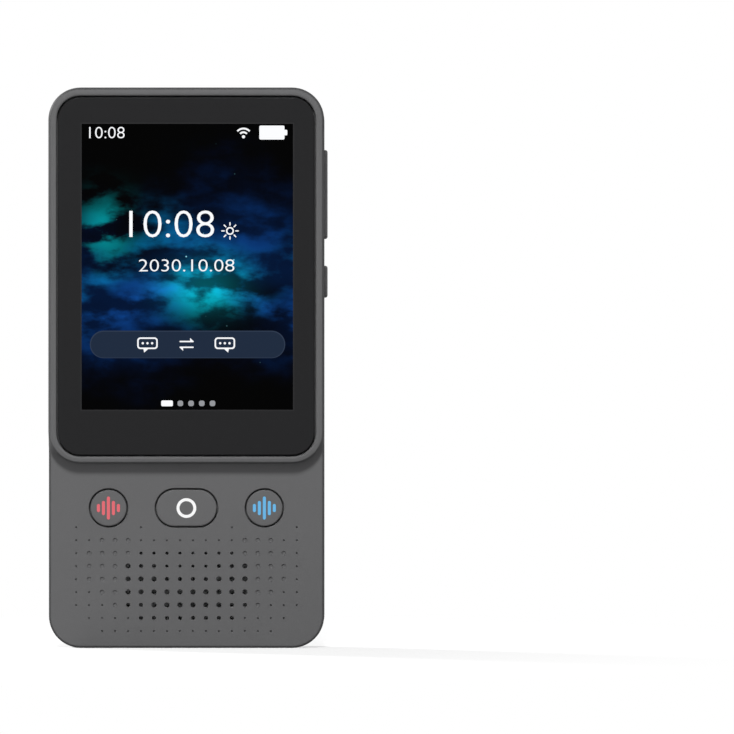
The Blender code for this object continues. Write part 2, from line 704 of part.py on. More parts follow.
def rear_outline(turn, inset):
    """Outline of the rear shell after part of the turn from side to back, moved inwards."""
    share = 1 - math.cos(turn)
    return rounded_outline(
        -HALF_WIDTH + inset + REAR_SIDE_CURVE * share,
        HALF_WIDTH - inset - REAR_SIDE_CURVE * share,
        inset + REAR_BOTTOM_CURVE * share,
        BODY_HEIGHT - inset - REAR_TOP_CURVE * share,
        CORNER_RADIUS - inset,
    )


def rear_shell(finish):
    """Rear shell: curved back with a lip, the camera skirt and the strap pocket."""
    turns = [math.radians(90 * step / CURVE_STEPS) for step in range(CURVE_STEPS + 1)]
    rings = []
    for turn in reversed(turns):
        depth = SEAM_BACK + (REAR_INNER - SEAM_BACK) * math.sin(turn)
        rings.append((depth, rear_outline(turn, REAR_INSET)))
    rings.append((SEAM_BACK - LIP_REACH, rear_outline(0, REAR_INSET)))
    rings.append((SEAM_BACK - LIP_REACH, rear_outline(0, LIP_INSET)))
    rings.append((SEAM_BACK, rear_outline(0, LIP_INSET)))
    for turn in turns:
        depth = SEAM_BACK + (REAR_PLANE - SEAM_BACK) * math.sin(turn)
        rings.append((depth, rear_outline(turn, 0)))
    shell = loft("rear_shell", rings, finish)

    skirt_top = CAMERA_PLANE - CAMERA_SHOULDER_DROP
    skirt = [(0, skirt_top), (CAMERA_RING_RADIUS + GAP + RIM_WIDTH / 2, skirt_top)]
    run = CAMERA_SKIRT_RADIUS - skirt[1][0]
    rise = skirt_top - REAR_PLANE
    for step in range(1, CURVE_STEPS + 1):
        angle = math.radians(90 * step / CURVE_STEPS)
        skirt.append((skirt[1][0] + run * (1 - math.cos(angle)), REAR_PLANE + rise * (1 - math.sin(angle))))
    skirt.append((CAMERA_SKIRT_RADIUS, REAR_PLANE - WALL / 2))
    skirt.append((0, REAR_PLANE - WALL / 2))
    combine(shell, turned("camera_skirt_tool", skirt, (0, 0, CAMERA_HEIGHT), "rear"), "UNION")
    seat_radius = CAMERA_RING_RADIUS + GAP
    barrel_hole = CAMERA_BARREL_RADIUS + GAP
    well = [
        (0, CAMERA_PLANE + OVERRUN),
        (seat_radius, CAMERA_PLANE + OVERRUN),
        (seat_radius, CAMERA_SEAT),
        (barrel_hole, CAMERA_SEAT),
        (barrel_hole, REAR_INNER - WALL),
        (0, REAR_INNER - WALL),
    ]
    combine(shell, turned("camera_well_cutter", well, (0, 0, CAMERA_HEIGHT), "rear"))

    block_low = (STRAP_LEFT - WALL, SEAM_BACK - GAP, STRAP_HEIGHT - STRAP_POCKET_DROP / 2 - STRAP_WALL)
    block_high = (STRAP_RIGHT + WALL, STRAP_PLANE + STRAP_BAR_SEAT, STRAP_HEIGHT)
    combine(shell, box("strap_block_tool", block_low, block_high), "UNION")
    half = (REAR_PLANE - SEAM_PLANE) / 2 - STRAP_POCKET_EDGE
    pocket_low = (STRAP_LEFT, STRAP_PLANE - half, STRAP_HEIGHT - STRAP_POCKET_DROP / 2)
    pocket_high = (STRAP_RIGHT, STRAP_PLANE + half, BODY_HEIGHT + OVERRUN)
    combine(shell, box("strap_pocket_cutter", pocket_low, pocket_high))
    bore_length = STRAP_RIGHT - STRAP_LEFT + 2 * STRAP_BAR_SEAT
    bore_middle = ((STRAP_LEFT + STRAP_RIGHT) / 2, STRAP_PLANE, STRAP_HEIGHT)
    bore_radius = STRAP_BAR_RADIUS + GAP / 2
    combine(shell, rod("strap_bore_cutter", bore_middle, bore_radius, bore_length, "side", sides=12))
    return shell


def strap_bar(finish):
    """Metal bar across the strap pocket."""
    length = STRAP_RIGHT - STRAP_LEFT + 2 * STRAP_BAR_SEAT - 2 * GAP
    middle = ((STRAP_LEFT + STRAP_RIGHT) / 2, STRAP_PLANE, STRAP_HEIGHT)
    return rod("strap_bar", middle, STRAP_BAR_RADIUS, length, "side", finish, sides=12)


def cover_glass(finish):
    """Cover glass in its seat."""
    outline = rounded_outline(-GLASS_HALF, GLASS_HALF, GLASS_BOTTOM, GLASS_TOP, GLASS_RADIUS)
    return soften(plate("cover_glass", outline, GLASS_FRONT, GLASS_BACK, finish=finish), GAP / 2)


def glass_adhesive(finish):
    """Adhesive frame under the rim of the glass."""
    outline = rounded_outline(
        -GLASS_HALF + GAP, GLASS_HALF - GAP, GLASS_BOTTOM + GAP, GLASS_TOP - GAP, GLASS_RADIUS - GAP
    )
    back = GLASS_SEAT - GAP
    frame = plate("glass_adhesive", outline, back - ADHESIVE_THICKNESS, back, finish=finish)
    low = (-DISPLAY_HALF - 2 * GAP, back - OVERRUN, DISPLAY_BOTTOM - 2 * GAP)
    high = (DISPLAY_HALF + 2 * GAP, back + OVERRUN, DISPLAY_TOP + 2 * GAP)
    combine(frame, box("adhesive_cutter", low, high))
    return frame


def display(panel_finish, backlight_finish):
    """Display panel and the backlight behind it."""
    low = (-DISPLAY_HALF, PANEL_FRONT, DISPLAY_BOTTOM)
    box("display_panel", low, (DISPLAY_HALF, PANEL_BACK, DISPLAY_TOP), panel_finish)
    half = DISPLAY_HALF - GAP
    low = (-half, BACKLIGHT_FRONT, DISPLAY_BOTTOM + GAP)
    box("display_backlight", low, (half, BACKLIGHT_BACK, DISPLAY_TOP - GAP), backlight_finish)


def display_ribbon(finish):
    """Display ribbon: up behind the backlight, over the mid frame and the board, down to its connector."""
    front = (BACKLIGHT_BACK + MID_FRAME_FRONT) / 2
    back = COMPONENT_FRONT + RIBBON_THICKNESS
    crest = MAIN_BOARD_TOP + GAP + (back - front) / 2
    path = [(front, DISPLAY_TOP - DISPLAY_RIBBON_LAP), (front, MAIN_BOARD_TOP)]
    middle = (front + back) / 2
    radius = (back - front) / 2
    rise = crest - MAIN_BOARD_TOP
    for step in range(1, CURVE_STEPS):
        angle = math.radians(180 * step / CURVE_STEPS)
        path.append((middle - radius * math.cos(angle), MAIN_BOARD_TOP + rise * math.sin(angle)))
    path += [(back, MAIN_BOARD_TOP), (back, MAIN_BOARD_TOP - DISPLAY_RIBBON_LAP)]
    ribbon("display_ribbon", path, DISPLAY_RIBBON_WIDTH, DISPLAY_RIBBON_SHIFT, finish)


def display_connector(finish):
    """Board connector that takes the display ribbon."""
    top = MAIN_BOARD_TOP - DISPLAY_RIBBON_LAP - GAP
    half = DISPLAY_RIBBON_WIDTH / 2
    low = (DISPLAY_RIBBON_SHIFT - half, COMPONENT_FRONT, top - CONNECTOR_LENGTH)
    high = (DISPLAY_RIBBON_SHIFT + half, COMPONENT_FRONT + CONNECTOR_THICKNESS, top)
    box("display_connector", low, high, finish)


def mid_frame(finish):
    """Stiff plate that carries the main board and the battery."""
    radius = CORNER_RADIUS - WALL - GAP
    sides = (-MID_FRAME_HALF, MID_FRAME_HALF, MID_FRAME_BOTTOM, MID_FRAME_TOP)
    outline = rounded_outline(*sides, radius, SCREW_EDGE)
    plate_item = plate("mid_frame", outline, MID_FRAME_FRONT, MID_FRAME_BACK, finish=finish)
    reach = (MID_FRAME_FRONT - OVERRUN, MID_FRAME_BACK + OVERRUN)
    combine(plate_item, screw_holes("mid_frame_hole_cutter", frame_screw_places(), *reach))
    combine(plate_item, screw_holes("board_thread_cutter", board_screw_places(), *reach))
    half = DISPLAY_RIBBON_WIDTH / 2 + 2 * GAP
    low = (DISPLAY_RIBBON_SHIFT - half, reach[0], MAIN_BOARD_TOP - GAP)
    high = (DISPLAY_RIBBON_SHIFT + half, reach[1], MID_FRAME_TOP + OVERRUN)
    combine(plate_item, box("ribbon_notch_cutter", low, high))
    port = box(
        "frame_port_cutter",
        (USB_SHIFT - USB_WIDTH / 2 - 2 * GAP, reach[0], USB_BOTTOM - GAP),
        (USB_SHIFT + USB_WIDTH / 2 + 2 * GAP, reach[1], MID_FRAME_TOP + OVERRUN),
    )
    combine(plate_item, port)


def main_board(finish):
    """Main board, notched round the USB-C connector."""
    low = (MAIN_BOARD_LEFT, MAIN_BOARD_FRONT, MAIN_BOARD_BOTTOM)
    board = box("main_board", low, (MAIN_BOARD_RIGHT, MAIN_BOARD_BACK, MAIN_BOARD_TOP), finish)
    notch = box(
        "board_port_cutter",
        (USB_SHIFT - USB_WIDTH / 2 - GAP, MAIN_BOARD_FRONT - OVERRUN, USB_BOTTOM - GAP),
        (USB_SHIFT + USB_WIDTH / 2 + GAP, MAIN_BOARD_BACK + OVERRUN, MAIN_BOARD_TOP + OVERRUN),
    )
    combine(board, notch)
    reach = (MAIN_BOARD_FRONT - OVERRUN, MAIN_BOARD_BACK + OVERRUN)
    combine(board, screw_holes("board_hole_cutter", board_screw_places(), *reach))


def board_parts(metal, black):
    """Shield can and upper microphone on the back of the main board."""
    right = USB_SHIFT + USB_WIDTH / 2 - SCREW_EDGE
    top = board_screw_places()[0][1] - SCREW_HEAD_RADIUS - 2 * GAP
    low = (right - SHIELD_WIDTH, COMPONENT_FRONT, MAIN_BOARD_BOTTOM + SHIELD_MARGIN)
    soften(box("shield_can", low, (right, COMPONENT_FRONT + SHIELD_DEPTH, top), metal), GAP)
    half = MICROPHONE_WIDTH / 2
    low = (TOP_MICROPHONE_SHIFT - half, COMPONENT_FRONT, MAIN_BOARD_TOP - MICROPHONE_HEIGHT - 2 * BOSS_RADIUS)
    high = (TOP_MICROPHONE_SHIFT + half, COMPONENT_FRONT + MICROPHONE_DEPTH, MAIN_BOARD_TOP - 2 * BOSS_RADIUS)
    box("top_microphone", low, high, black)


def usb_port(metal, black):
    """USB-C shell with its tongue, set in the notch of the main board."""
    shell = plate("usb_shell", usb_outline(0), USB_BOTTOM, USB_TOP, "top", metal)
    bore = plate("usb_bore_cutter", usb_outline(USB_WALL), USB_BOTTOM - OVERRUN, USB_TOP + OVERRUN, "top")
    combine(shell, bore)
    block_top = USB_BOTTOM + USB_BLOCK_LENGTH
    tongue = plate("usb_tongue", usb_outline(USB_WALL + GAP), USB_BOTTOM, block_top, "top", black)
    low = (USB_SHIFT - TONGUE_WIDTH / 2, USB_PLANE - TONGUE_THICKNESS / 2, USB_BOTTOM + USB_BLOCK_LENGTH / 2)
    high = (USB_SHIFT + TONGUE_WIDTH / 2, USB_PLANE + TONGUE_THICKNESS / 2, USB_TOP - TONGUE_DROP)
    combine(tongue, box("tongue_tool", low, high), "UNION")


def camera(metal, black, glass, module_finish):
    """Camera: trim ring, window, barrel, lens and the sensor module behind them."""
    place = (0, 0, CAMERA_HEIGHT)
    ring_inner = CAMERA_RING_RADIUS - CAMERA_RING_WIDTH
    edge = CAMERA_RING_WIDTH / 4
    ring = [
        (ring_inner, CAMERA_PLANE - edge),
        (ring_inner + edge, CAMERA_PLANE),
        (CAMERA_RING_RADIUS - edge, CAMERA_PLANE),
        (CAMERA_RING_RADIUS, CAMERA_PLANE - edge),
        (CAMERA_RING_RADIUS, WINDOW_FRONT),
        (ring_inner, WINDOW_FRONT),
    ]
    turned("camera_ring", ring, place, "rear", metal)
    middle = (0, (WINDOW_FRONT + WINDOW_BACK) / 2, CAMERA_HEIGHT)
    thickness = CAMERA_WINDOW_THICKNESS
    rod("camera_window", middle, WINDOW_RADIUS, thickness, "rear", glass, sides=TURN_STEPS)
    well = CAMERA_LENS_RADIUS + GAP
    floor = LENS_FRONT - GAP
    barrel = [
        (0, floor),
        (well, floor),
        (well, BARREL_BACK),
        (CAMERA_BARREL_RADIUS, BARREL_BACK),
        (CAMERA_BARREL_RADIUS, BARREL_FRONT),
        (0, BARREL_FRONT),
    ]
    turned("camera_barrel", barrel, place, "rear", black, steps=24)
    lens = [(0, LENS_BACK)]
    for step in range(1, 4):
        share = step / 3
        lens.append((CAMERA_LENS_RADIUS * share, LENS_BACK - CAMERA_LENS_THICKNESS / 2 * share * share))
    lens += [(CAMERA_LENS_RADIUS, LENS_FRONT), (0, LENS_FRONT)]
    turned("camera_lens", lens, place, "rear", glass, steps=20)
    half = CAMERA_MODULE_SIZE / 2
    low = (-half, COMPONENT_FRONT, CAMERA_HEIGHT - half)
    box("camera_module", low, (half, BARREL_FRONT - GAP, CAMERA_HEIGHT + half), module_finish)


def round_key(name, side, finish):
    """Round key: cap, retaining flange and post in one turned piece."""
    front = -KEY_FRONT
    flange_front = -FLANGE_FRONT
    flange_back = -FLANGE_BACK
    profile = [
        (0, front),
        (KEY_RADIUS - KEY_EDGE, front),
        (KEY_RADIUS, front - KEY_EDGE),
        (KEY_RADIUS, flange_front),
        (FLANGE_RADIUS, flange_front),
        (FLANGE_RADIUS, flange_back),
        (KEY_POST_RADIUS, flange_back),
        (KEY_POST_RADIUS, -POST_BACK),
        (0, -POST_BACK),
    ]
    return turned(name, profile, (side * KEY_SPACING, 0, KEY_HEIGHT), "front", finish)


def home_key(finish):
    """Long key with round ends, its flange and its post."""

    def pill(grow):
        height = HOME_KEY_HEIGHT + 2 * grow
        return centred_outline(HOME_KEY_WIDTH + 2 * grow, height, height / 2, (0, KEY_HEIGHT))

    def post():
        return centred_outline(2 * KEY_POST_RADIUS, 2 * KEY_POST_RADIUS, KEY_POST_RADIUS, (0, KEY_HEIGHT))

    flange = GAP + KEY_FLANGE_WIDTH
    rings = [
        (KEY_FRONT, pill(-KEY_EDGE)),
        (KEY_FRONT + KEY_EDGE, pill(0)),
        (FLANGE_FRONT, pill(0)),
        (FLANGE_FRONT, pill(flange)),
        (FLANGE_BACK, pill(flange)),
        (FLANGE_BACK, post()),
        (POST_BACK, post()),
    ]
    return loft("home_key", rings, finish)


def key_switch(side, name, body_finish, plunger_finish):
    """Tactile switch behind a front key: housing with a well, and the plunger in it."""
    across = side * KEY_SPACING
    half = SWITCH_WIDTH / 2
    low = (across - half, SWITCH_FRONT, KEY_HEIGHT - half)
    housing = box(name + "_switch", low, (across + half, SWITCH_BACK, KEY_HEIGHT + half), body_finish)
    well = SWITCH_WELL_END - SWITCH_FRONT + OVERRUN
    well_middle = (across, SWITCH_WELL_END - well / 2, KEY_HEIGHT)
    combine(housing, rod(name + "_well_cutter", well_middle, PLUNGER_RADIUS + GAP, well))
    plunger_middle = (across, (PLUNGER_FRONT + PLUNGER_BACK) / 2, KEY_HEIGHT)
    rod(name + "_plunger", plunger_middle, PLUNGER_RADIUS, PLUNGER_LENGTH, finish=plunger_finish)


def key_board(finish):
    """Key board with a leg down to the lower microphone."""
    foot = WALL + SPEAKER_RAISE / 2
    outline = [
        (-KEY_BOARD_HALF, KEY_BOARD_BOTTOM),
        (KEY_BOARD_LEG, KEY_BOARD_BOTTOM),
        (KEY_BOARD_LEG, foot),
        (KEY_BOARD_HALF, foot),
        (KEY_BOARD_HALF, KEY_BOARD_TOP),
        (-KEY_BOARD_HALF, KEY_BOARD_TOP),
    ]
    board = plate("key_board", outline, KEY_BOARD_FRONT, KEY_BOARD_BACK, finish=finish)
    reach = (KEY_BOARD_FRONT - OVERRUN, KEY_BOARD_BACK + OVERRUN)
    combine(board, screw_holes("key_board_hole_cutter", boss_places(), *reach))


def lower_microphone(finish):
    """Lower microphone in front of the leg of the key board."""
    across, up = lower_microphone_place()
    back = KEY_BOARD_FRONT - GAP
    low = (across - MICROPHONE_WIDTH / 2, back - MICROPHONE_DEPTH, up - MICROPHONE_HEIGHT / 2)
    box("bottom_microphone", low, (across + MICROPHONE_WIDTH / 2, back, up + MICROPHONE_HEIGHT / 2), finish)


def side_key(name, centre, length, posts, finish):
    """Side key: cap through the wall, a flange inside and its posts."""
    cap = centred_outline(SIDE_KEY_WIDTH, length, SIDE_KEY_WIDTH / 2 - GAP, (SIDE_KEY_PLANE, centre))
    flange_size = (SIDE_KEY_WIDTH + 2 * SIDE_FLANGE_WIDTH, length + 2 * SIDE_FLANGE_WIDTH)
    flange = centred_outline(*flange_size, SIDE_KEY_WIDTH / 2, (SIDE_KEY_PLANE, centre))
    key = plate(name, cap, SIDE_FLANGE_IN + SIDE_FLANGE_THICKNESS / 2, SIDE_KEY_OUT, "side", finish)
    soften(key, GAP)
    combine(key, plate(name + "_flange_tool", flange, SIDE_FLANGE_IN, SIDE_FLANGE_OUT, "side"), "UNION")
    for index, shift in enumerate(posts):
        half = SIDE_POST_SIZE / 2
        low = (SIDE_POST_IN, SIDE_KEY_PLANE - half, centre + shift - half)
        high = (SIDE_FLANGE_IN + SIDE_FLANGE_THICKNESS / 2, SIDE_KEY_PLANE + half, centre + shift + half)
        combine(key, box(f"{name}_post_tool_{index}", low, high), "UNION")
    return key


def side_switch(name, centre, finish):
    """Side switch: a housing with its button, as one closed piece."""
    half = SIDE_SWITCH_LENGTH / 2
    deep = SIDE_KEY_WIDTH / 2 - GAP
    low = (SIDE_SWITCH_IN, SIDE_KEY_PLANE - deep, centre - half)
    housing = box(name, low, (SIDE_SWITCH_OUT, SIDE_KEY_PLANE + deep, centre + half), finish)
    small = SIDE_POST_SIZE / 2
    button_low = (SIDE_SWITCH_IN + SIDE_SWITCH_DEPTH / 2, SIDE_KEY_PLANE - small, centre - small)
    button_high = (SIDE_BUTTON_OUT, SIDE_KEY_PLANE + small, centre + small)
    combine(housing, box(name + "_button_tool", button_low, button_high), "UNION")


def side_key_bracket(finish):
    """Bracket that carries the side switches, with the fulcrum that the rocker tips on."""
    low = (BRACKET_IN, BRACKET_FRONT, POWER_CENTRE - POWER_LENGTH / 2)
    high = (BRACKET_OUT, BRACKET_BACK, ROCKER_CENTRE + ROCKER_LENGTH / 2)
    bracket = box("side_key_bracket", low, high, finish)
    half = FULCRUM_WIDTH / 2
    deep = SIDE_POST_SIZE / 2
    rib_low = (BRACKET_IN + SIDE_BRACKET_THICKNESS / 2, SIDE_KEY_PLANE - deep, ROCKER_CENTRE - half)
    rib_high = (SIDE_FLANGE_IN - GAP, SIDE_KEY_PLANE + deep, ROCKER_CENTRE + half)
    combine(bracket, box("fulcrum_tool", rib_low, rib_high), "UNION")


def speaker(mesh_finish, foam_finish, frame_finish, cone_finish):
    """Speaker behind the grille: dust mesh, gasket, frame and cone."""
    middle = (SPEAKER_BOTTOM + SPEAKER_TOP) / 2

    def outline(inset):
        width = SPEAKER_WIDTH - 2 * inset
        height = SPEAKER_HEIGHT - 2 * inset
        return centred_outline(width, height, SPEAKER_RADIUS - inset / 2, (0, middle))

    plate("speaker_mesh", outline(0), MESH_FRONT, MESH_BACK, finish=mesh_finish)
    gasket = plate("speaker_gasket", outline(0), GASKET_FRONT, GASKET_BACK, finish=foam_finish)
    opening = plate("gasket_cutter", outline(GASKET_WIDTH), GASKET_FRONT - OVERRUN, GASKET_BACK + OVERRUN)
    combine(gasket, opening)
    frame = plate("speaker_frame", outline(0), SPEAKER_FRONT, SPEAKER_BACK, finish=frame_finish)
    well_floor = SPEAKER_FRONT + SPEAKER_WELL_DEPTH
    combine(frame, plate("speaker_well_cutter", outline(SPEAKER_RIM), SPEAKER_FRONT - OVERRUN, well_floor))
    cone_back = well_floor - GAP
    rings = [
        (cone_back, outline(SPEAKER_RIM + GAP)),
        (cone_back - CONE_THICKNESS, outline(SPEAKER_RIM + GAP)),
        (cone_back - CONE_THICKNESS, outline(SPEAKER_RIM + SPEAKER_RIM / 2)),
        (cone_back - CONE_THICKNESS - CONE_RISE, outline(2 * SPEAKER_RIM)),
    ]
    loft("speaker_cone", rings, cone_finish)


def battery(cell_finish, pad_finish, foam_finish, lead_finish, connector_finish):
    """Battery between its adhesive and its foam, with its lead and connector."""
    outline = rounded_outline(-BATTERY_HALF, BATTERY_HALF, BATTERY_BOTTOM, BATTERY_TOP, BATTERY_RADIUS)
    soften(plate("battery", outline, BATTERY_FRONT, BATTERY_BACK, finish=cell_finish), 2 * GAP, 2)
    margin = BATTERY_PAD_MARGIN
    low = (-BATTERY_HALF + margin, PAD_FRONT, BATTERY_BOTTOM + margin)
    box("battery_adhesive", low, (BATTERY_HALF - margin, PAD_BACK, BATTERY_TOP - margin), pad_finish)
    margin = FOAM_MARGIN
    low = (-BATTERY_HALF + margin, FOAM_FRONT, BATTERY_BOTTOM + margin)
    box("battery_foam", low, (BATTERY_HALF - margin, FOAM_BACK, BATTERY_TOP - margin), foam_finish)
    left = BATTERY_CONNECTOR_SHIFT - LEAD_WIDTH / 2
    right = BATTERY_CONNECTOR_SHIFT + LEAD_WIDTH / 2
    lead_top = MAIN_BOARD_BOTTOM + CONNECTOR_LENGTH / 2
    lead_low = (left, COMPONENT_FRONT, BATTERY_TOP + GAP)
    box("battery_lead", lead_low, (right, COMPONENT_FRONT + LEAD_THICKNESS, lead_top), lead_finish)
    plug_low = (left - 2 * GAP, COMPONENT_FRONT, lead_top + GAP)
    plug_high = (right + 2 * GAP, COMPONENT_FRONT + CONNECTOR_THICKNESS, lead_top + GAP + CONNECTOR_LENGTH)
    box("battery_connector", plug_low, plug_high, connector_finish)


def board_link(finish):
    """Ribbon from the main board down the left side to the key board."""
    high = MAIN_BOARD_BACK + GAP
    low = KEY_BOARD_BACK + GAP
    lap = CONNECTOR_LENGTH
    path = [(high, MAIN_BOARD_BOTTOM + lap), (high, MAIN_BOARD_BOTTOM - lap)]
    start = MAIN_BOARD_BOTTOM - lap
    for step in range(1, CURVE_STEPS):
        share = step / CURVE_STEPS
        blend = (1 - math.cos(math.pi * share)) / 2
        path.append((high + (low - high) * blend, start - LINK_RIBBON_BEND * share))
    path += [(low, start - LINK_RIBBON_BEND), (low, KEY_BOARD_TOP - lap)]
    shift = -BATTERY_HALF - 2 * GAP - LINK_RIBBON_WIDTH / 2
    ribbon("board_link_ribbon", path, LINK_RIBBON_WIDTH, shift, finish)


def antenna(finish):
    """Antenna strip inside the left wall."""
    low = (-INNER_HALF + GAP, INNER_FRONT + WALL, MAIN_BOARD_TOP - ANTENNA_LENGTH)
    high = (-INNER_HALF + GAP + ANTENNA_THICKNESS, INNER_FRONT + WALL + ANTENNA_WIDTH, MAIN_BOARD_TOP)
    box("antenna_strip", low, high, finish)


def screws(finish):
    """Screws of the mid frame, the main board and the key board, each with a socket in its head."""
    depth = MID_FRAME_BACK + GAP
    frame_tip = INNER_FRONT - SCREW_BITE + GAP
    groups = (
        ("mid_frame", frame_screw_places(), depth, depth - frame_tip),
        ("main_board", board_screw_places(), COMPONENT_FRONT, COMPONENT_FRONT - MID_FRAME_FRONT),
        ("key_board", boss_places(), KEY_BOARD_BACK + GAP, KEY_BOARD_BACK - INNER_FRONT - WALL / 2),
    )
    for group, places, seat, length in groups:
        for index, (across, up) in enumerate(places):
            head = SCREW_HEAD_HEIGHT
            profile = [
                (0, head - SCREW_SOCKET_DEPTH),
                (SCREW_SOCKET_RADIUS, head - SCREW_SOCKET_DEPTH),
                (SCREW_SOCKET_RADIUS, head),
                (SCREW_HEAD_RADIUS, head),
                (SCREW_HEAD_RADIUS, 0),
                (SCREW_SHANK_RADIUS, 0),
                (SCREW_SHANK_RADIUS, -length),
                (0, -length),
            ]
            turned(f"{group}_screw_{index + 1}", profile, (across, seat, up), "rear", finish, steps=12)


def shade_parts():
    """Smooth shading with sharp edges kept."""
    for item in PARTS.objects:
        item.data.shade_smooth()
        item.data.set_sharp_from_angle(angle=math.radians(30))


def build():
    """Build every part."""
    casing = make_material("casing_plastic", (0.11, 0.11, 0.115), 0.55)
    rear = make_material("rear_plastic", (0.075, 0.075, 0.08), 0.6)
    glass = make_material("black_glass", (0.01, 0.01, 0.012), 0.05)
    screen = make_material("display_panel", (0.01, 0.02, 0.05), 0.2)
    white = make_material("white_plastic", (0.7, 0.7, 0.7), 0.5)
    black = make_material("black_plastic", (0.02, 0.02, 0.02), 0.5)
    key = make_material("key_plastic", (0.13, 0.13, 0.135), 0.45)
    steel = make_material("steel", (0.6, 0.6, 0.6), 0.3, 1.0)
    brass = make_material("brass_contact", (0.75, 0.6, 0.3), 0.35, 1.0)
    board = make_material("circuit_board", (0.01, 0.12, 0.05), 0.5)
    alloy = make_material("light_alloy", (0.5, 0.5, 0.52), 0.4, 1.0)
    foam = make_material("black_foam", (0.015, 0.015, 0.015), 0.9)
    film = make_material("amber_film", (0.5, 0.2, 0.03), 0.35)
    foil = make_material("battery_foil", (0.55, 0.56, 0.58), 0.35, 0.6)

    front_shell(casing)
    rear_shell(rear)
    strap_bar(steel)
    cover_glass(glass)
    glass_adhesive(foam)
    display(screen, white)
    display_ribbon(film)
    display_connector(black)
    mid_frame(alloy)
    main_board(board)
    board_parts(steel, black)
    usb_port(steel, black)
    camera(steel, black, glass, black)
    round_key("left_key", -1, key)
    home_key(key)
    round_key("right_key", 1, key)
    for side, name in ((-1, "left"), (0, "home"), (1, "right")):
        key_switch(side, name, black, brass)
    key_board(board)
    lower_microphone(black)
    side_key("volume_rocker", ROCKER_CENTRE, ROCKER_LENGTH, (-SIDE_SWITCH_OFFSET, SIDE_SWITCH_OFFSET), key)
    side_key("power_button", POWER_CENTRE, POWER_LENGTH, (0,), key)
    side_switch("volume_up_switch", ROCKER_CENTRE + SIDE_SWITCH_OFFSET, black)
    side_switch("volume_down_switch", ROCKER_CENTRE - SIDE_SWITCH_OFFSET, black)
    side_switch("power_switch", POWER_CENTRE, black)
    side_key_bracket(black)
    speaker(steel, foam, black, foam)
    battery(foil, foam, foam, film, white)
    board_link(film)
    antenna(brass)
    screws(steel)
    shade_parts()


clear_scene()
PARTS = make_collection("handheld_translator")
CUTTERS = make_collection("cutters")
build()
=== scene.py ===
"""Looks of a handheld voice translator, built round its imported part.

The front faces -Y and the top +Z, and lengths are in metres. Each sub-assembly is a class that
builds its meshes, gives them their finishes and lets them ride on the body that carries them.
"""

import logging
import math
from dataclasses import dataclass
from enum import Enum
from typing import Iterable, Optional, Sequence, Union

import bmesh
import bpy
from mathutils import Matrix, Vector


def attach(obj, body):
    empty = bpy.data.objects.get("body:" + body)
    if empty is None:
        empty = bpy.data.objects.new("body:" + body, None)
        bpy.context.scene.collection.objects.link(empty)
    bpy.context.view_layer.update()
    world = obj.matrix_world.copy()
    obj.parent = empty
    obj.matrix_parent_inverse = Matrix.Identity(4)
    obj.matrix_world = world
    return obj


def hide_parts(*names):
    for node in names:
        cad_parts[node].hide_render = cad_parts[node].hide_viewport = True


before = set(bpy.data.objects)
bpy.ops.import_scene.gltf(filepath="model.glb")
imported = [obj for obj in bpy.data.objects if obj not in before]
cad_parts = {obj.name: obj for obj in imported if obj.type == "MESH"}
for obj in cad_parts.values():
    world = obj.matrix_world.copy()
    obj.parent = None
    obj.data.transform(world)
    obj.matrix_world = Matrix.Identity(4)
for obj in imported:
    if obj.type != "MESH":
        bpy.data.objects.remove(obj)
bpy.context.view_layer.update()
LOG = logging.getLogger("translator")

MM = 0.001
HOUSING = "housing"
ARC_STEPS = 14
FILLET_STEPS = 6
TURN_STEPS = 96
SHARP_ANGLE = math.radians(32)
ALMOST = 0.9999
WELD = 1e-7
STROKE_THINNING = 0.011

Point = tuple[float, float]
Ring = tuple[float, list[Point]]
Colour = tuple[float, float, float]
Bend = tuple[float, float, float]
Tile = tuple[float, float, float, float]
Number = Union["SocketMath", float]
Fed = Union["SocketMath", bpy.types.NodeSocket, float, Sequence[float]]


def linear(red: int, green: int, blue: int) -> Colour:
    """Turn a colour as a screen shows it, 0 to 255, into the shader's linear values."""
    shares = (value / 255 for value in (red, green, blue))
    return tuple(share / 12.92 if share <= 0.04045 else ((share + 0.055) / 1.055) ** 2.4 for share in shares)


def dimmed(colour: Colour, factor: float) -> Colour:
    """Multiply a colour by a factor."""
    return colour[0] * factor, colour[1] * factor, colour[2] * factor


@dataclass(frozen=True)
class Sizes:
    """Sizes that several sub-assemblies share."""

    half_width: float = 29.6 * MM
    height: float = 120.4 * MM
    corner: float = 6.9 * MM
    wall: float = 1.5 * MM
    gap: float = 0.3 * MM
    edge: float = 0.6 * MM
    front: float = -7.8 * MM
    keypad: float = -5.8 * MM
    inner_front: float = -4.3 * MM
    seam_front: float = 1.85 * MM
    seam_back: float = 2.15 * MM
    rear: float = 6.2 * MM
    rear_inner: float = 4.7 * MM
    frame_bottom: float = 40.0 * MM
    glass_half: float = 27.5 * MM
    glass_bottom: float = 41.5 * MM
    glass_top: float = 118.3 * MM
    glass_corner: float = 4.8 * MM
    key_height: float = 30.1 * MM
    key_spacing: float = 16.75 * MM
    key_radius: float = 3.9 * MM
    home_width: float = 13.0 * MM
    home_height: float = 7.85 * MM
    side_plane: float = -1.6 * MM
    side_width: float = 2.6 * MM
    camera: Point = (0.0, 95.0 * MM)
    rocker_middle: float = 97.6 * MM
    rocker_length: float = 19.2 * MM
    power_middle: float = 78.8 * MM
    power_length: float = 6.9 * MM
    port: Point = (-9.0 * MM, -0.7 * MM)
    port_width: float = 9.0 * MM
    port_depth: float = 3.2 * MM


SIZES = Sizes()


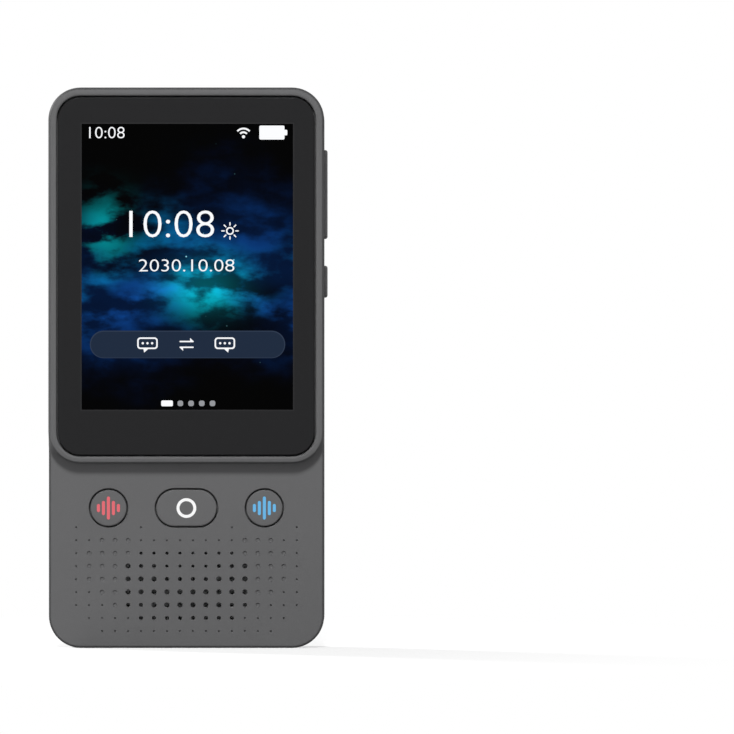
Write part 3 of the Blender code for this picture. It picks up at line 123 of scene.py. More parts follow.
class SocketMath:
    """A number in a node tree, on which Python's operators add Math nodes."""

    def __init__(self, tree: "Tree", socket: bpy.types.NodeSocket) -> None:
        """Wrap an output socket of a tree."""
        self.tree = tree
        self.socket = socket

    def __add__(self, other: Number) -> "SocketMath":
        """Add a number."""
        return self.tree.math("ADD", self, other)

    def __radd__(self, other: Number) -> "SocketMath":
        """Add to a number."""
        return self.tree.math("ADD", other, self)

    def __sub__(self, other: Number) -> "SocketMath":
        """Take a number away."""
        return self.tree.math("SUBTRACT", self, other)

    def __rsub__(self, other: Number) -> "SocketMath":
        """Take this away from a number."""
        return self.tree.math("SUBTRACT", other, self)

    def __mul__(self, other: Number) -> "SocketMath":
        """Multiply by a number."""
        return self.tree.math("MULTIPLY", self, other)

    def __rmul__(self, other: Number) -> "SocketMath":
        """Multiply a number by this."""
        return self.tree.math("MULTIPLY", other, self)

    def __truediv__(self, other: Number) -> "SocketMath":
        """Divide by a number."""
        return self.tree.math("DIVIDE", self, other)

    def __neg__(self) -> "SocketMath":
        """Turn the sign round."""
        return self.tree.math("MULTIPLY", self, -1.0)

    def __abs__(self) -> "SocketMath":
        """Drop the sign."""
        return self.tree.math("ABSOLUTE", self)

    def sine(self) -> "SocketMath":
        """Sine of this, as an angle in radians."""
        return self.tree.math("SINE", self)

    def bell(self, width: float) -> "SocketMath":
        """A bell curve: 1 where this is zero, falling off over a width."""
        share = self / width
        return self.tree.math("EXPONENT", -(share * share))

    def over(self, low: float, high: float) -> "SocketMath":
        """A smooth step from 0 at low to 1 at high.

        Args:
            low: where it is still 0.
            high: where it reaches 1.

        Returns:
            The step, from 0 to 1.
        """
        settings = {"interpolation_type": "SMOOTHSTEP"}
        inputs = {"Value": self, "From Min": low, "From Max": high}
        return SocketMath(self.tree, self.tree.add("ShaderNodeMapRange", settings, inputs).outputs[0])


class Tree:
    """Adds nodes to a material's or a shape's tree."""

    def __init__(self, tree: bpy.types.NodeTree) -> None:
        """Take the tree that the nodes go into."""
        self.tree = tree

    def add(
        self,
        kind: str,
        settings: Optional[dict[str, object]] = None,
        inputs: Optional[dict[Union[str, int], Fed]] = None,
    ) -> bpy.types.Node:
        """Add one node.

        Args:
            kind: the node's type.
            settings: its settings, set before its sockets; "stops" holds a ramp's places and colours.
            inputs: a value or a link for each socket, by name or number.

        Returns:
            The new node.
        """
        node = self.tree.nodes.new(kind)
        for name, value in (settings or {}).items():
            if name == "stops":
                self._set_stops(node, value)
            else:
                setattr(node, name, value)
        for name, value in (inputs or {}).items():
            self._feed(node.inputs[name], value)
        return node

    def _set_stops(self, node: bpy.types.Node, stops: Sequence[tuple[float, Colour]]) -> None:
        """Set a ramp's places and colours.

        Args:
            node: the ramp's node.
            stops: the places and their colours.
        """
        elements = node.color_ramp.elements
        while len(elements) < len(stops):
            elements.new(1.0)
        for element, (place, colour) in zip(elements, stops):
            element.position = place
            element.color = (*colour, 1.0)

    def _feed(self, socket: bpy.types.NodeSocket, value: Fed) -> None:
        """Link a socket, or set its value.

        Args:
            socket: the socket to feed.
            value: a value or a link.
        """
        source = value.socket if isinstance(value, SocketMath) else value
        if isinstance(source, bpy.types.NodeSocket):
            self.tree.links.new(source, socket)
        elif socket.type == "RGBA" and len(source) == 3:
            socket.default_value = (*source, 1.0)
        else:
            socket.default_value = source

    def math(self, operation: str, *values: Number) -> SocketMath:
        """Add a Math node and return its result."""
        node = self.add("ShaderNodeMath", {"operation": operation}, dict(enumerate(values)))
        return SocketMath(self, node.outputs[0])


class Paint(Tree):
    """Adds nodes to a material's tree, with the steps that the finishes share."""

    def __init__(self, tree: bpy.types.NodeTree) -> None:
        """Start with the piece's own coordinates."""
        super().__init__(tree)
        self.place = self.add("ShaderNodeTexCoord").outputs["Object"]

    def axes(self) -> tuple[SocketMath, SocketMath, SocketMath]:
        """The three coordinates in millimetres."""
        parts = self.add("ShaderNodeSeparateXYZ", None, {"Vector": self.place})
        return tuple(SocketMath(self, socket) * 1000.0 for socket in parts.outputs)

    def stretched(self, scale: Sequence[float]) -> bpy.types.NodeSocket:
        """The coordinates stretched along each axis."""
        return self.add("ShaderNodeMapping", None, {"Vector": self.place, "Scale": scale}).outputs[0]

    def noise(self, size: float, detail: float = 2.0, place: Optional[Fed] = None) -> SocketMath:
        """Noise with specks of a size, in metres."""
        inputs = {"Vector": place or self.place, "Scale": 1.0 / size, "Detail": detail}
        return SocketMath(self, self.add("ShaderNodeTexNoise", None, inputs).outputs[0])

    def blend(self, factor: Number, first: Fed, second: Fed, mode: str = "MIX") -> bpy.types.NodeSocket:
        """Mix two colours."""
        settings = {"data_type": "RGBA", "blend_type": mode}
        return self.add("ShaderNodeMix", settings, {0: factor, 6: first, 7: second}).outputs[2]

    def bump(self, height: Number, depth: float, strength: float = 1.0) -> bpy.types.NodeSocket:
        """Relief of a depth, in metres."""
        inputs = {"Height": height, "Distance": depth, "Strength": strength}
        return self.add("ShaderNodeBump", None, inputs).outputs[0]

    def surface(self, **inputs: Fed) -> None:
        """Add the Principled shader, with its sockets named in words joined by underscores.

        Args:
            inputs: a value or a link for each socket.
        """
        named = {name.replace("_", " "): value for name, value in inputs.items()}
        shader = self.add("ShaderNodeBsdfPrincipled", None, named)
        self.add("ShaderNodeOutputMaterial", None, {"Surface": shader.outputs[0]})


@dataclass(frozen=True)
class Finish:
    """A finish: its name and the record's material slot that it belongs to."""

    name: str
    slot: str

    def material(self) -> bpy.types.Material:
        """Make the material, or return it where it is made.

        Returns:
            The material.
        """
        made = bpy.data.materials.get(self.name)
        if made is None:
            made = bpy.data.materials.new(self.name)
            made.use_nodes = True
            made.node_tree.nodes.clear()
            self.paint(Paint(made.node_tree))
        return made

    def paint(self, tree: Paint) -> None:
        """Fill the material's tree."""
        raise NotImplementedError


@dataclass(frozen=True)
class MouldedPlastic(Finish):
    """Moulded plastic with the fine texture of a spark-eroded tool."""

    colour: Colour
    roughness: float = 0.5
    grain: float = 0.16 * MM
    relief: float = 0.012 * MM
    mottle: float = 0.05
    gloss: float = 0.03

    def base(self, tree: Paint) -> Fed:
        """The plain colour."""
        return self.colour

    def paint(self, tree: Paint) -> None:
        """Fine grain in relief and roughness, with faint clouds in the colour.

        Args:
            tree: the material's tree.
        """
        fine = tree.noise(self.grain, 3.0)
        clouds = tree.noise(14 * MM, 3.0)
        low, high = 1 - self.mottle, 1 + self.mottle
        shade = tree.blend(clouds, (low, low, low), (high, high, high))
        colour = tree.blend(1.0, self.base(tree), shade, "MULTIPLY")
        speckled = tree.blend(fine.over(0.35, 0.7) * 0.16, colour, dimmed(self.colour, 0.7))
        tree.surface(
            Base_Color=speckled,
            Roughness=self.roughness + (fine - 0.5) * 0.18 + (clouds - 0.5) * 0.06,
            Specular_IOR_Level=self.gloss,
            Normal=tree.bump(fine, self.relief),
        )


@dataclass(frozen=True)
class FacedPlastic(MouldedPlastic):
    """Moulded plastic with a paler face, and flanks darkened by painted shade."""

    flank_shade: Colour = (0.07, 0.07, 0.07)

    def base(self, tree: Paint) -> Fed:
        """Painted shade: the darker flank colour round the edge and up the slope under the screen frame.

        Args:
            tree: the material's tree.

        Returns:
            The colour.
        """
        across, depth, up = tree.axes()
        half, middle, corner = (value / MM for value in (SIZES.half_width, SIZES.height / 2, SIZES.corner))
        side = abs(across) - (half - corner)
        rise = abs(up - middle) - (middle - corner)
        out_side, out_rise = tree.math("MAXIMUM", side, 0.0), tree.math("MAXIMUM", rise, 0.0)
        reach = tree.math("SQRT", out_side * out_side + out_rise * out_rise)
        inner = tree.math("MINIMUM", tree.math("MAXIMUM", side, rise), 0.0)
        inset = corner - reach - inner
        # Painted shade round the edge: the side walls and the outermost 0.3 mm of the face take the flank
        # colour, fading out by 0.62 mm in.
        edge = 1.0 - inset.over(0.30, 0.62)
        front, panel = -SIZES.front / MM, -SIZES.keypad / MM
        # Painted shade up the hollow slope under the screen frame, from just above the key panel to just
        # under the bead's crest.
        slope = (-depth).over(panel, panel + 0.3) * (1.0 - (-depth).over(front - 0.45, front - 0.15))
        return tree.blend(tree.math("MAXIMUM", edge, slope), self.colour, self.flank_shade)


@dataclass(frozen=True)
class PolishedGlass(Finish):
    """Polished glass with a print behind it and the faint smears of handling."""

    colour: Colour
    roughness: float = 0.05
    gloss: float = 0.25
    alpha: float = 1.0
    glow: Colour = (0.0, 0.0, 0.0)

    def paint(self, tree: Paint) -> None:
        """Smooth, with smears that only the roughness shows.

        Args:
            tree: the material's tree.
        """
        smear = tree.noise(9 * MM, 4.0, tree.stretched((1.0, 1.0, 0.35)))
        depth = tree.noise(3 * MM, 2.0)
        tree.surface(
            Base_Color=tree.blend(depth, dimmed(self.colour, 0.92), dimmed(self.colour, 1.08)),
            Roughness=self.roughness + smear.over(0.45, 0.8) * 0.05,
            Specular_IOR_Level=self.gloss,
            Alpha=self.alpha,
            Emission_Color=self.glow,
            Emission_Strength=1.0,
        )


@dataclass(frozen=True)
class CoatedPane(Finish):
    """Clear pane painted grey, with violet patches low and on one side: a painted reflection of the lens
    coating.
    """

    reflected_grey: Colour
    reflected_violet: Colour
    alpha: float = 0.36

    def paint(self, tree: Paint) -> None:
        """Clouded painted reflection over a clear pane.

        Args:
            tree: the material's tree.
        """
        across, _, up = tree.axes()
        cloud = (tree.noise(2.4 * MM, 2.0) - 0.5) * 2.0
        rise = up - SIZES.camera[1] / MM
        # Painted reflection: violet patches low and to one side of the lens, clouded by noise.
        low = (across - 1.4 + cloud).bell(2.0) * (rise + 2.5 + cloud).bell(1.5)
        side = (across + 3.1 + cloud).bell(1.5) * 0.5
        painted_reflection = tree.math("MINIMUM", low + side, 1.0)
        tree.surface(
            Base_Color=tree.blend(painted_reflection, self.reflected_grey, self.reflected_violet),
            Roughness=0.03,
            Specular_IOR_Level=0.2,
            Alpha=self.alpha,
        )


@dataclass(frozen=True)
class LitScreen(Finish):
    """Cover glass: a dark printed border round a lit picture of drifting light."""

    border: Colour
    left: float
    right: float
    bottom: float
    top: float

    def paint(self, tree: Paint) -> None:
        """Bands of blue and green light that drift across a black screen.

        Args:
            tree: the material's tree.
        """
        across, _, up = tree.axes()
        inside = self._field(across, up, 0.0)
        bezel = tree.blend(self._field(across, up, 0.25), self.border, dimmed(self.border, 1.35))
        lit = self._picture(tree, across, up)
        smear = tree.noise(11 * MM, 4.0, tree.stretched((1.0, 1.0, 0.4)))
        tree.surface(
            Base_Color=tree.blend(inside, bezel, (0.0, 0.0, 0.0)),
            Roughness=0.045 + smear.over(0.45, 0.85) * 0.035,
            Specular_IOR_Level=0.02,
            Emission_Color=tree.blend(inside, (0.0, 0.0, 0.0), lit),
            Emission_Strength=1.0,
        )

    def _field(self, across: SocketMath, up: SocketMath, grow: float) -> SocketMath:
        """1 inside the picture's rectangle, grown by some millimetres, and 0 outside.

        Args:
            across: place across.
            up: place up.
            grow: how far past the picture's sides.

        Returns:
            The mask.
        """
        left, right, low, high = (value / MM for value in (self.left, self.right, self.bottom, self.top))
        sides = (across - (left - grow), (right + grow) - across, up - (low - grow), (high + grow) - up)
        field = sides[0].over(0.0, 0.05)
        for side in sides[1:]:
            field = field * side.over(0.0, 0.05)
        return field

    def _picture(self, tree: Paint, across: SocketMath, up: SocketMath) -> bpy.types.NodeSocket:
        """The colours of the picture.

        Args:
            tree: the material's tree.
            across: place across.
            up: place up.

        Returns:
            The colour.
        """
        broad = tree.noise(15 * MM, 5.0, tree.stretched((1.0, 1.0, 1.4)))
        wisps = tree.noise(6 * MM, 7.0, tree.stretched((0.8, 1.0, 1.5)))
        drift = (broad - 0.5) * 30.0
        swell = (across * 0.13 + 0.4).sine() * 5.0
        deep = (up - 79.5 - swell + drift).bell(10.5)
        ribbon = (up - 83.0 + (across * 0.16 - 0.9).sine() * 6.0 + drift * 0.7).bell(4.2)
        veil = (up - 73.5 - (across * 0.10 + 1.2).sine() * 6.0 - drift * 0.5).bell(3.2)
        core = (across - 4.0).bell(7.0) * (up - 77.5).bell(5.0)
        side = (across + 17.5).bell(5.0) * (up - 90.0 + drift * 0.3).bell(5.5)
        cloud = wisps.over(0.38, 0.72)
        sparks = self._sparks(tree) * (deep + side)
        colour = tree.blend(deep * (0.2 + 0.8 * cloud), (0.0, 0.0, 0.0), (0.002, 0.035, 0.17))
        layers = (
            (ribbon * cloud * 0.8, (0.0, 0.11, 0.24)),
            (veil * cloud * 0.8, (0.004, 0.06, 0.28)),
            (core * (0.15 + 0.85 * wisps.over(0.42, 0.62)), (0.0, 0.52, 0.58)),
            (side * wisps.over(0.46, 0.64) * 0.8, (0.0, 0.30, 0.32)),
            (sparks, (0.35, 0.9, 1.0)),
        )
        for amount, tone in layers:
            colour = tree.blend(amount, colour, tone, "ADD")
        return colour

    def _sparks(self, tree: Paint) -> SocketMath:
        """Small points of light."""
        cells = tree.add("ShaderNodeTexVoronoi", None, {"Vector": tree.place, "Scale": 240.0})
        return 1.0 - SocketMath(tree, cells.outputs["Distance"]).over(0.01, 0.055)


@dataclass(frozen=True)
class Ink(Finish):
    """Printed ink, with a faint painted glow on the keys' signs, or a lit shape on the screen where it glows.
    """

    colour: Colour
    glow: float = 0.0

    def paint(self, tree: Paint) -> None:
        """A flat print whose edge of coverage varies a little.

        Args:
            tree: the material's tree.
        """
        body = tree.noise(0.25 * MM, 2.0)
        share = 1 - self.glow
        printed = tree.blend(body, dimmed(self.colour, 0.93 * share), dimmed(self.colour, share))
        tree.surface(
            Base_Color=printed,
            Roughness=0.42 + (body - 0.5) * 0.1,
            Specular_IOR_Level=0.03 + 0.12 * share,
            Emission_Color=dimmed(self.colour, self.glow),
            Emission_Strength=1.0,
            Normal=tree.bump(body, 0.002 * MM),
        )


class Grain(Enum):
    """How a metal's surface was worked."""

    TURNED = "turned"
    ROLLED = "rolled"
    CAST = "cast"
    CRINKLED = "crinkled"


@dataclass(frozen=True)
class Metal(Finish):
    """Metal with the marks of the way it was worked."""

    colour: Colour
    grain: Grain
    roughness: float = 0.32
    centre: Point = (0.0, 0.0)

    def marks(self, tree: Paint) -> tuple[SocketMath, float]:
        """The marks' height and their depth.

        Args:
            tree: the material's tree.

        Returns:
            The height, from 0 to 1, and the depth in metres.
        """
        if self.grain is Grain.TURNED:
            across, _, up = tree.axes()
            side = across - self.centre[0] / MM
            rise = up - self.centre[1] / MM
            radius = tree.math("SQRT", side * side + rise * rise)
            angle = tree.math("ARCTAN2", rise, side)
            rings = tree.add("ShaderNodeCombineXYZ", None, {0: radius * 30.0, 1: angle * 0.8})
            return tree.noise(1.0, 2.0, rings.outputs[0]), 0.002 * MM
        if self.grain is Grain.ROLLED:
            return tree.noise(0.2 * MM, 2.0, tree.stretched((1.0, 1.0, 0.08))), 0.003 * MM
        if self.grain is Grain.CRINKLED:
            return tree.noise(2.2 * MM, 4.0), 0.10 * MM
        return tree.noise(0.35 * MM, 4.0), 0.02 * MM

    def paint(self, tree: Paint) -> None:
        """Marks in relief and roughness, with a little tarnish.

        Args:
            tree: the material's tree.
        """
        marks, depth = self.marks(tree)
        tarnish = tree.noise(3 * MM, 3.0)
        tree.surface(
            Base_Color=tree.blend(tarnish, dimmed(self.colour, 0.88), self.colour),
            Metallic=1.0,
            Roughness=self.roughness + (marks - 0.5) * 0.2,
            Normal=tree.bump(marks, depth),
        )


@dataclass(frozen=True)
class CircuitBoard(Finish):
    """Solder mask over copper tracks, with rows of plated pads."""

    mask: Colour
    track: Colour

    def paint(self, tree: Paint) -> None:
        """Tracks as lighter lines under the mask.

        Args:
            tree: the material's tree.
        """
        across, _, up = tree.axes()
        bend = tree.noise(5 * MM, 0.0)
        lanes = abs((across * 2.2 + bend * 9.0).sine())
        rungs = abs((up * 1.4 + bend * 6.0).sine())
        tracks = 1.0 - (lanes * rungs).over(0.12, 0.24)
        vias = tree.add("ShaderNodeTexVoronoi", None, {"Vector": tree.place, "Scale": 700.0})
        pads = 1.0 - SocketMath(tree, vias.outputs["Distance"]).over(0.16, 0.22)
        coated = tree.blend(tracks, self.mask, self.track)
        tree.surface(
            Base_Color=tree.blend(pads, coated, (0.55, 0.50, 0.36)),
            Metallic=pads,
            Roughness=0.34 + tracks * 0.08,
            Normal=tree.bump(tracks, 0.02 * MM),
        )


@dataclass(frozen=True)
class Foam(Finish):
    """Closed-cell foam or felt."""

    colour: Colour
    cell: float = 0.3 * MM

    def paint(self, tree: Paint) -> None:
        """Small cells in relief.

        Args:
            tree: the material's tree.
        """
        cells = tree.add("ShaderNodeTexVoronoi", None, {"Vector": tree.place, "Scale": 1 / self.cell})
        wall = SocketMath(tree, cells.outputs["Distance"])
        tree.surface(
            Base_Color=tree.blend(wall, dimmed(self.colour, 0.5), dimmed(self.colour, 1.4)),
            Roughness=0.9 - wall * 0.1,
            Specular_IOR_Level=0.15,
            Normal=tree.bump(wall, 0.08 * MM),
        )


@dataclass(frozen=True)
class Film(Finish):
    """Flexible printed film: amber cover over copper strips."""

    colour: Colour
    strip: Colour

    def paint(self, tree: Paint) -> None:
        """Strips along the ribbon.

        Args:
            tree: the material's tree.
        """
        across, _, _ = tree.axes()
        strips = abs((across * 6.0).sine()).over(0.35, 0.6)
        waves = tree.noise(1.5 * MM, 2.0)
        tree.surface(
            Base_Color=tree.blend(strips, self.strip, self.colour),
            Roughness=0.3 + waves * 0.12,
            Coat_Weight=0.4,
            Normal=tree.bump(strips, 0.015 * MM),
        )


@dataclass(frozen=True)
class WovenMesh(Finish):
    """Fine woven wire cloth behind the grille."""

    colour: Colour
    pitch: float = 0.22 * MM

    def paint(self, tree: Paint) -> None:
        """Wires in two directions over dark gaps.

        Args:
            tree: the material's tree.
        """
        across, _, up = tree.axes()
        turn = 2 * math.pi * MM / self.pitch
        wires = abs((across * turn / 2).sine()) * abs((up * turn / 2).sine())
        open_share = wires.over(0.35, 0.6)
        tree.surface(
            Base_Color=tree.blend(open_share, self.colour, (0.004, 0.004, 0.004)),
            Metallic=1.0 - open_share,
            Roughness=0.4 + open_share * 0.4,
            Normal=tree.bump(1.0 - wires, 0.06 * MM),
        )


FRONT_GREY = linear(103, 103, 104)
BACK_GREY = linear(82, 82, 83)

# The front casing's flanks take a darker grey as painted shade.
FRONT_PLASTIC = FacedPlastic(
    "front_plastic", "casing", dimmed(FRONT_GREY, 0.92), 0.5, flank_shade=dimmed(BACK_GREY, 0.8)
)
REAR_PLASTIC = MouldedPlastic("rear_plastic", "rear_casing", dimmed(BACK_GREY, 0.92), 0.52)
KEY_PLASTIC = MouldedPlastic("key_plastic", "key", dimmed(FRONT_GREY, 0.93), 0.42, relief=0.006 * MM)
BLACK_PLASTIC = MouldedPlastic("black_plastic", "black_plastic", (0.016, 0.016, 0.017), 0.4)
WHITE_PLASTIC = MouldedPlastic("white_plastic", "white_plastic", (0.68, 0.68, 0.66), 0.4)
BLACK_GLASS = PolishedGlass("black_glass", "camera_glass", linear(27, 27, 28), gloss=0.12)
LENS_COATING = PolishedGlass("lens_coating", "camera_glass", (0.012, 0.008, 0.04), 0.02, 0.6)
# A grey and violet sheet over the lens: painted reflection of its coating.
PANE_COATING = CoatedPane("pane_coating", "camera_glass", linear(60, 60, 62), linear(62, 54, 120))
DISPLAY_GLASS = PolishedGlass("display_glass", "display", (0.01, 0.02, 0.05), 0.12)
LENS_BARREL = MouldedPlastic("lens_barrel", "black_plastic", (0.03, 0.03, 0.032), 0.5)
RING_METAL = Metal("ring_metal", "steel", linear(104, 104, 106), Grain.TURNED, 0.38, SIZES.camera)
DARK_STEEL = Metal("dark_steel", "steel", linear(92, 92, 94), Grain.ROLLED, 0.42)
STAMPED_STEEL = Metal("stamped_steel", "steel", (0.58, 0.57, 0.55), Grain.ROLLED, 0.3)
SPRING_BRASS = Metal("spring_brass", "brass", (0.78, 0.58, 0.27), Grain.ROLLED, 0.28)
CAST_ALLOY = Metal("cast_alloy", "light_alloy", (0.50, 0.50, 0.52), Grain.CAST, 0.5)
CELL_FOIL = Metal("cell_foil", "battery_foil", (0.60, 0.61, 0.63), Grain.CRINKLED, 0.3)
SOLDER_MASK = CircuitBoard("solder_mask", "circuit_board", (0.004, 0.06, 0.025), (0.012, 0.14, 0.05))
BLACK_FOAM = Foam("black_foam", "foam", (0.016, 0.016, 0.016))
AMBER_FILM = Film("amber_film", "film", (0.42, 0.16, 0.02), (0.50, 0.24, 0.06))
WIRE_CLOTH = WovenMesh("wire_cloth", "steel", (0.62, 0.62, 0.64))
# The keys' printed signs glow faintly (0.15, white 0.25): painted glow, as they are no lamps.
RED_INK = Ink("red_ink", "key", linear(222, 104, 112), 0.15)
BLUE_INK = Ink("blue_ink", "key", linear(104, 178, 226), 0.15)
WHITE_INK = Ink("white_ink", "key", (0.92, 0.92, 0.92), 0.25)
WHITE_LIGHT = Ink("white_light", "display", (0.97, 0.98, 1.0), 1.0)
GREY_LIGHT = Ink("grey_light", "display", linear(150, 152, 156), 1.0)
SLATE_LIGHT = Ink("slate_light", "display", linear(29, 42, 62), 1.0)
SLATE_EDGE = Ink("slate_edge", "display", linear(46, 58, 78), 1.0)

CARRIED_OVER = {
    BLACK_FOAM: ("glass_adhesive", "speaker_gasket", "speaker_cone", "battery_adhesive", "battery_foam"),
    DISPLAY_GLASS: ("display_panel",),
    WHITE_PLASTIC: ("display_backlight", "battery_connector"),
    AMBER_FILM: ("display_ribbon", "board_link_ribbon", "battery_lead"),
    BLACK_PLASTIC: (
        "display_connector",
        "top_microphone",
        "bottom_microphone",
        "camera_module",
        "left_switch",
        "home_switch",
        "right_switch",
        "volume_up_switch",
        "volume_down_switch",
        "power_switch",
        "side_key_bracket",
        "speaker_frame",
    ),
    CAST_ALLOY: ("mid_frame",),
    SOLDER_MASK: ("main_board", "key_board"),
    STAMPED_STEEL: (
        "shield_can",
        "mid_frame_screw_1",
        "mid_frame_screw_2",
        "mid_frame_screw_3",
        "mid_frame_screw_4",
        "main_board_screw_1",
        "main_board_screw_2",
        "key_board_screw_1",
        "key_board_screw_2",
    ),
    SPRING_BRASS: ("left_plunger", "home_plunger", "right_plunger", "antenna_strip"),
    WIRE_CLOTH: ("speaker_mesh",),
    CELL_FOIL: ("battery",),
}


class Facing(Enum):
    """The axis that a solid's depth runs along."""

    FRONT = "y"
    SIDE = "x"
    TOP = "z"

    def point(self, depth: float, across: float, up: float) -> Vector:
        """Place a point of an outline at a depth.

        Args:
            depth: place along the axis.
            across: place across.
            up: place up.

        Returns:
            The point.
        """
        if self is Facing.FRONT:
            return Vector((across, depth, up))
        if self is Facing.SIDE:
            return Vector((depth, across, up))
        return Vector((across, up, depth))


def rounded(left: float, right: float, bottom: float, top: float, radius: float) -> list[Point]:
    """Outline of a rectangle with round corners.

    Args:
        left: the left edge's place, and so on for the other three.
        radius: radius of the corners.

    Returns:
        The points, anticlockwise from the lower right corner.
    """
    corners = (
        (right - radius, bottom + radius, -90),
        (right - radius, top - radius, 0),
        (left + radius, top - radius, 90),
        (left + radius, bottom + radius, 180),
    )
    points = []
    for across, up, start in corners:
        for step in range(ARC_STEPS + 1):
            angle = math.radians(start + 90 * step / ARC_STEPS)
            points.append((across + radius * math.cos(angle), up + radius * math.sin(angle)))
    return points


@dataclass(frozen=True)
class Pill:
    """An outline with two round ends."""

    width: float
    height: float
    centre: Point = (0.0, 0.0)

    def grown(self, length: float = 0.0) -> list[Point]:
        """Place the outline's points, moved outwards by a length.

        Args:
            length: how far, or less than zero for inwards.

        Returns:
            The points.
        """
        across, up = self.centre
        width, height = self.width + 2 * length, self.height + 2 * length
        radius = min(width, height) / 2 * ALMOST
        return rounded(across - width / 2, across + width / 2, up - height / 2, up + height / 2, radius)


def filleted(bends: Sequence[Bend]) -> list[Point]:
    """Round the corners of an open line.

    Args:
        bends: the corners as (first, second, radius).

    Returns:
        The points of the line with an arc at each corner that has a radius.
    """
    line = [Vector(bend[:2]) for bend in bends]
    points = [tuple(line[0])]
    for before, corner, after, bend in zip(line, line[1:], line[2:], bends[1:]):
        radius = bend[2]
        back = (before - corner).normalized()
        on = (after - corner).normalized()
        half = back.angle(on) / 2
        if radius <= 0 or half < 0.01 or half > 1.56:
            points.append(tuple(corner))
            continue
        reach = min(radius / math.tan(half), 0.499 * min((before - corner).length, (after - corner).length))
        radius = reach * math.tan(half)
        middle = corner + (back + on).normalized() * (radius / math.sin(half))
        start = corner + back * reach - middle
        turn = start.angle_signed(corner + on * reach - middle)
        for step in range(FILLET_STEPS + 1):
            angle = -turn * step / FILLET_STEPS
            cosine, sine = math.cos(angle), math.sin(angle)
            points.append((
                middle.x + start.x * cosine - start.y * sine,
                middle.y + start.x * sine + start.y * cosine,
            ))
    points.append(tuple(line[-1]))
    return points


def plain_object(name: str, shape: bmesh.types.BMesh) -> bpy.types.Object:
    """Turn a bmesh into an object at the origin, with its faces pointing out.

    Args:
        name: the object's name.
        shape: the bmesh, which is used up.

    Returns:
        The object.
    """
    bmesh.ops.recalc_face_normals(shape, faces=shape.faces)
    mesh = bpy.data.meshes.new(name)
    shape.to_mesh(mesh)
    shape.free()
    item = bpy.data.objects.new(name, mesh)
    bpy.context.scene.collection.objects.link(item)
    return item


def ring_solid(name: str, rings: Sequence[Ring], facing: Facing = Facing.FRONT) -> bpy.types.Object:
    """Join outlines of equal point counts into a solid, capped at both ends.

    Args:
        name: the object's name.
        rings: each outline with its depth.
        facing: the axis that the depths run along.

    Returns:
        The solid.
    """
    shape = bmesh.new()
    loops = [[shape.verts.new(facing.point(depth, *point)) for point in line] for depth, line in rings]
    for first, second in zip(loops, loops[1:]):
        for index in range(len(first)):
            after = (index + 1) % len(first)
            shape.faces.new((first[index], first[after], second[after], second[index]))
    shape.faces.new(loops[0])
    shape.faces.new(loops[-1][::-1])
    return plain_object(name, shape)


def turned(
    name: str, line: Sequence[Point], centre: Point = (0.0, 0.0), facing: Facing = Facing.FRONT
) -> bpy.types.Object:
    """Turn a line of (radius, depth) points about an axis.

    Args:
        name: the object's name.
        line: a line that starts and ends on the axis, or else is closed into a ring.
        centre: the axis's place.
        facing: the way that the axis runs.

    Returns:
        The solid.
    """
    shape = bmesh.new()
    loops = []
    for radius, depth in line:
        if radius == 0:
            loops.append([shape.verts.new(facing.point(depth, *centre))])
            continue
        loop = []
        for step in range(TURN_STEPS):
            angle = 2 * math.pi * step / TURN_STEPS
            across, up = centre[0] + radius * math.cos(angle), centre[1] + radius * math.sin(angle)
            loop.append(shape.verts.new(facing.point(depth, across, up)))
        loops.append(loop)
    pairs = list(zip(loops, loops[1:]))
    if line[0][0] > 0:
        pairs.append((loops[-1], loops[0]))
    for first, second in pairs:
        for index in range(TURN_STEPS):
            after = (index + 1) % TURN_STEPS
            corners = [first[index % len(first)], first[after % len(first)]]
            corners += [second[after % len(second)], second[index % len(second)]]
            shape.faces.new(list(dict.fromkeys(corners)))
    return plain_object(name, shape)


def combine(target: bpy.types.Object, tool: bpy.types.Object, operation: str = "DIFFERENCE") -> None:
    """Cut a tool from a piece, or join it on.

    Args:
        target: the piece.
        tool: the solid to cut or join with.
        operation: DIFFERENCE or UNION.
    """
    modifier = target.modifiers.new(tool.name, "BOOLEAN")
    modifier.object = tool
    modifier.operation = operation
    modifier.solver = "EXACT"


def settle(item: bpy.types.Object) -> bpy.types.Object:
    """Apply a piece's modifiers to its mesh, and remove the tools that they used.

    Args:
        item: the piece.

    Returns:
        The same piece.
    """
    bpy.context.view_layer.update()
    tools = [modifier.object for modifier in item.modifiers if modifier.type == "BOOLEAN"]
    evaluated = item.evaluated_get(bpy.context.evaluated_depsgraph_get())
    mesh = bpy.data.meshes.new_from_object(evaluated)
    mesh.name = item.name
    item.modifiers.clear()
    item.data = mesh
    for tool in tools:
        bpy.data.objects.remove(tool)
    return item


def smoothed(item: bpy.types.Object) -> bpy.types.Object:
    """Shade a piece smoothly between its sharp edges, with flat faces kept flat.

    Args:
        item: the piece.

    Returns:
        The same piece.
    """
    settle(item)
    item.data.polygons.foreach_set("use_smooth", [True] * len(item.data.polygons))
    item.data.set_sharp_from_angle(angle=SHARP_ANGLE)
    modifier = item.modifiers.new("Normals", "WEIGHTED_NORMAL")
    modifier.keep_sharp = True
    return settle(item)


def joined(name: str, items: Sequence[bpy.types.Object]) -> bpy.types.Object:
    """Put several meshes into one.

    Args:
        name: the new object's name.
        items: the objects, which are used up.

    Returns:
        The new object.
    """
    shape = bmesh.new()
    for item in items:
        shape.from_mesh(item.data)
        bpy.data.objects.remove(item)
    mesh = bpy.data.meshes.new(name)
    shape.to_mesh(mesh)
    shape.free()
    made = bpy.data.objects.new(name, mesh)
    bpy.context.scene.collection.objects.link(made)
    return made


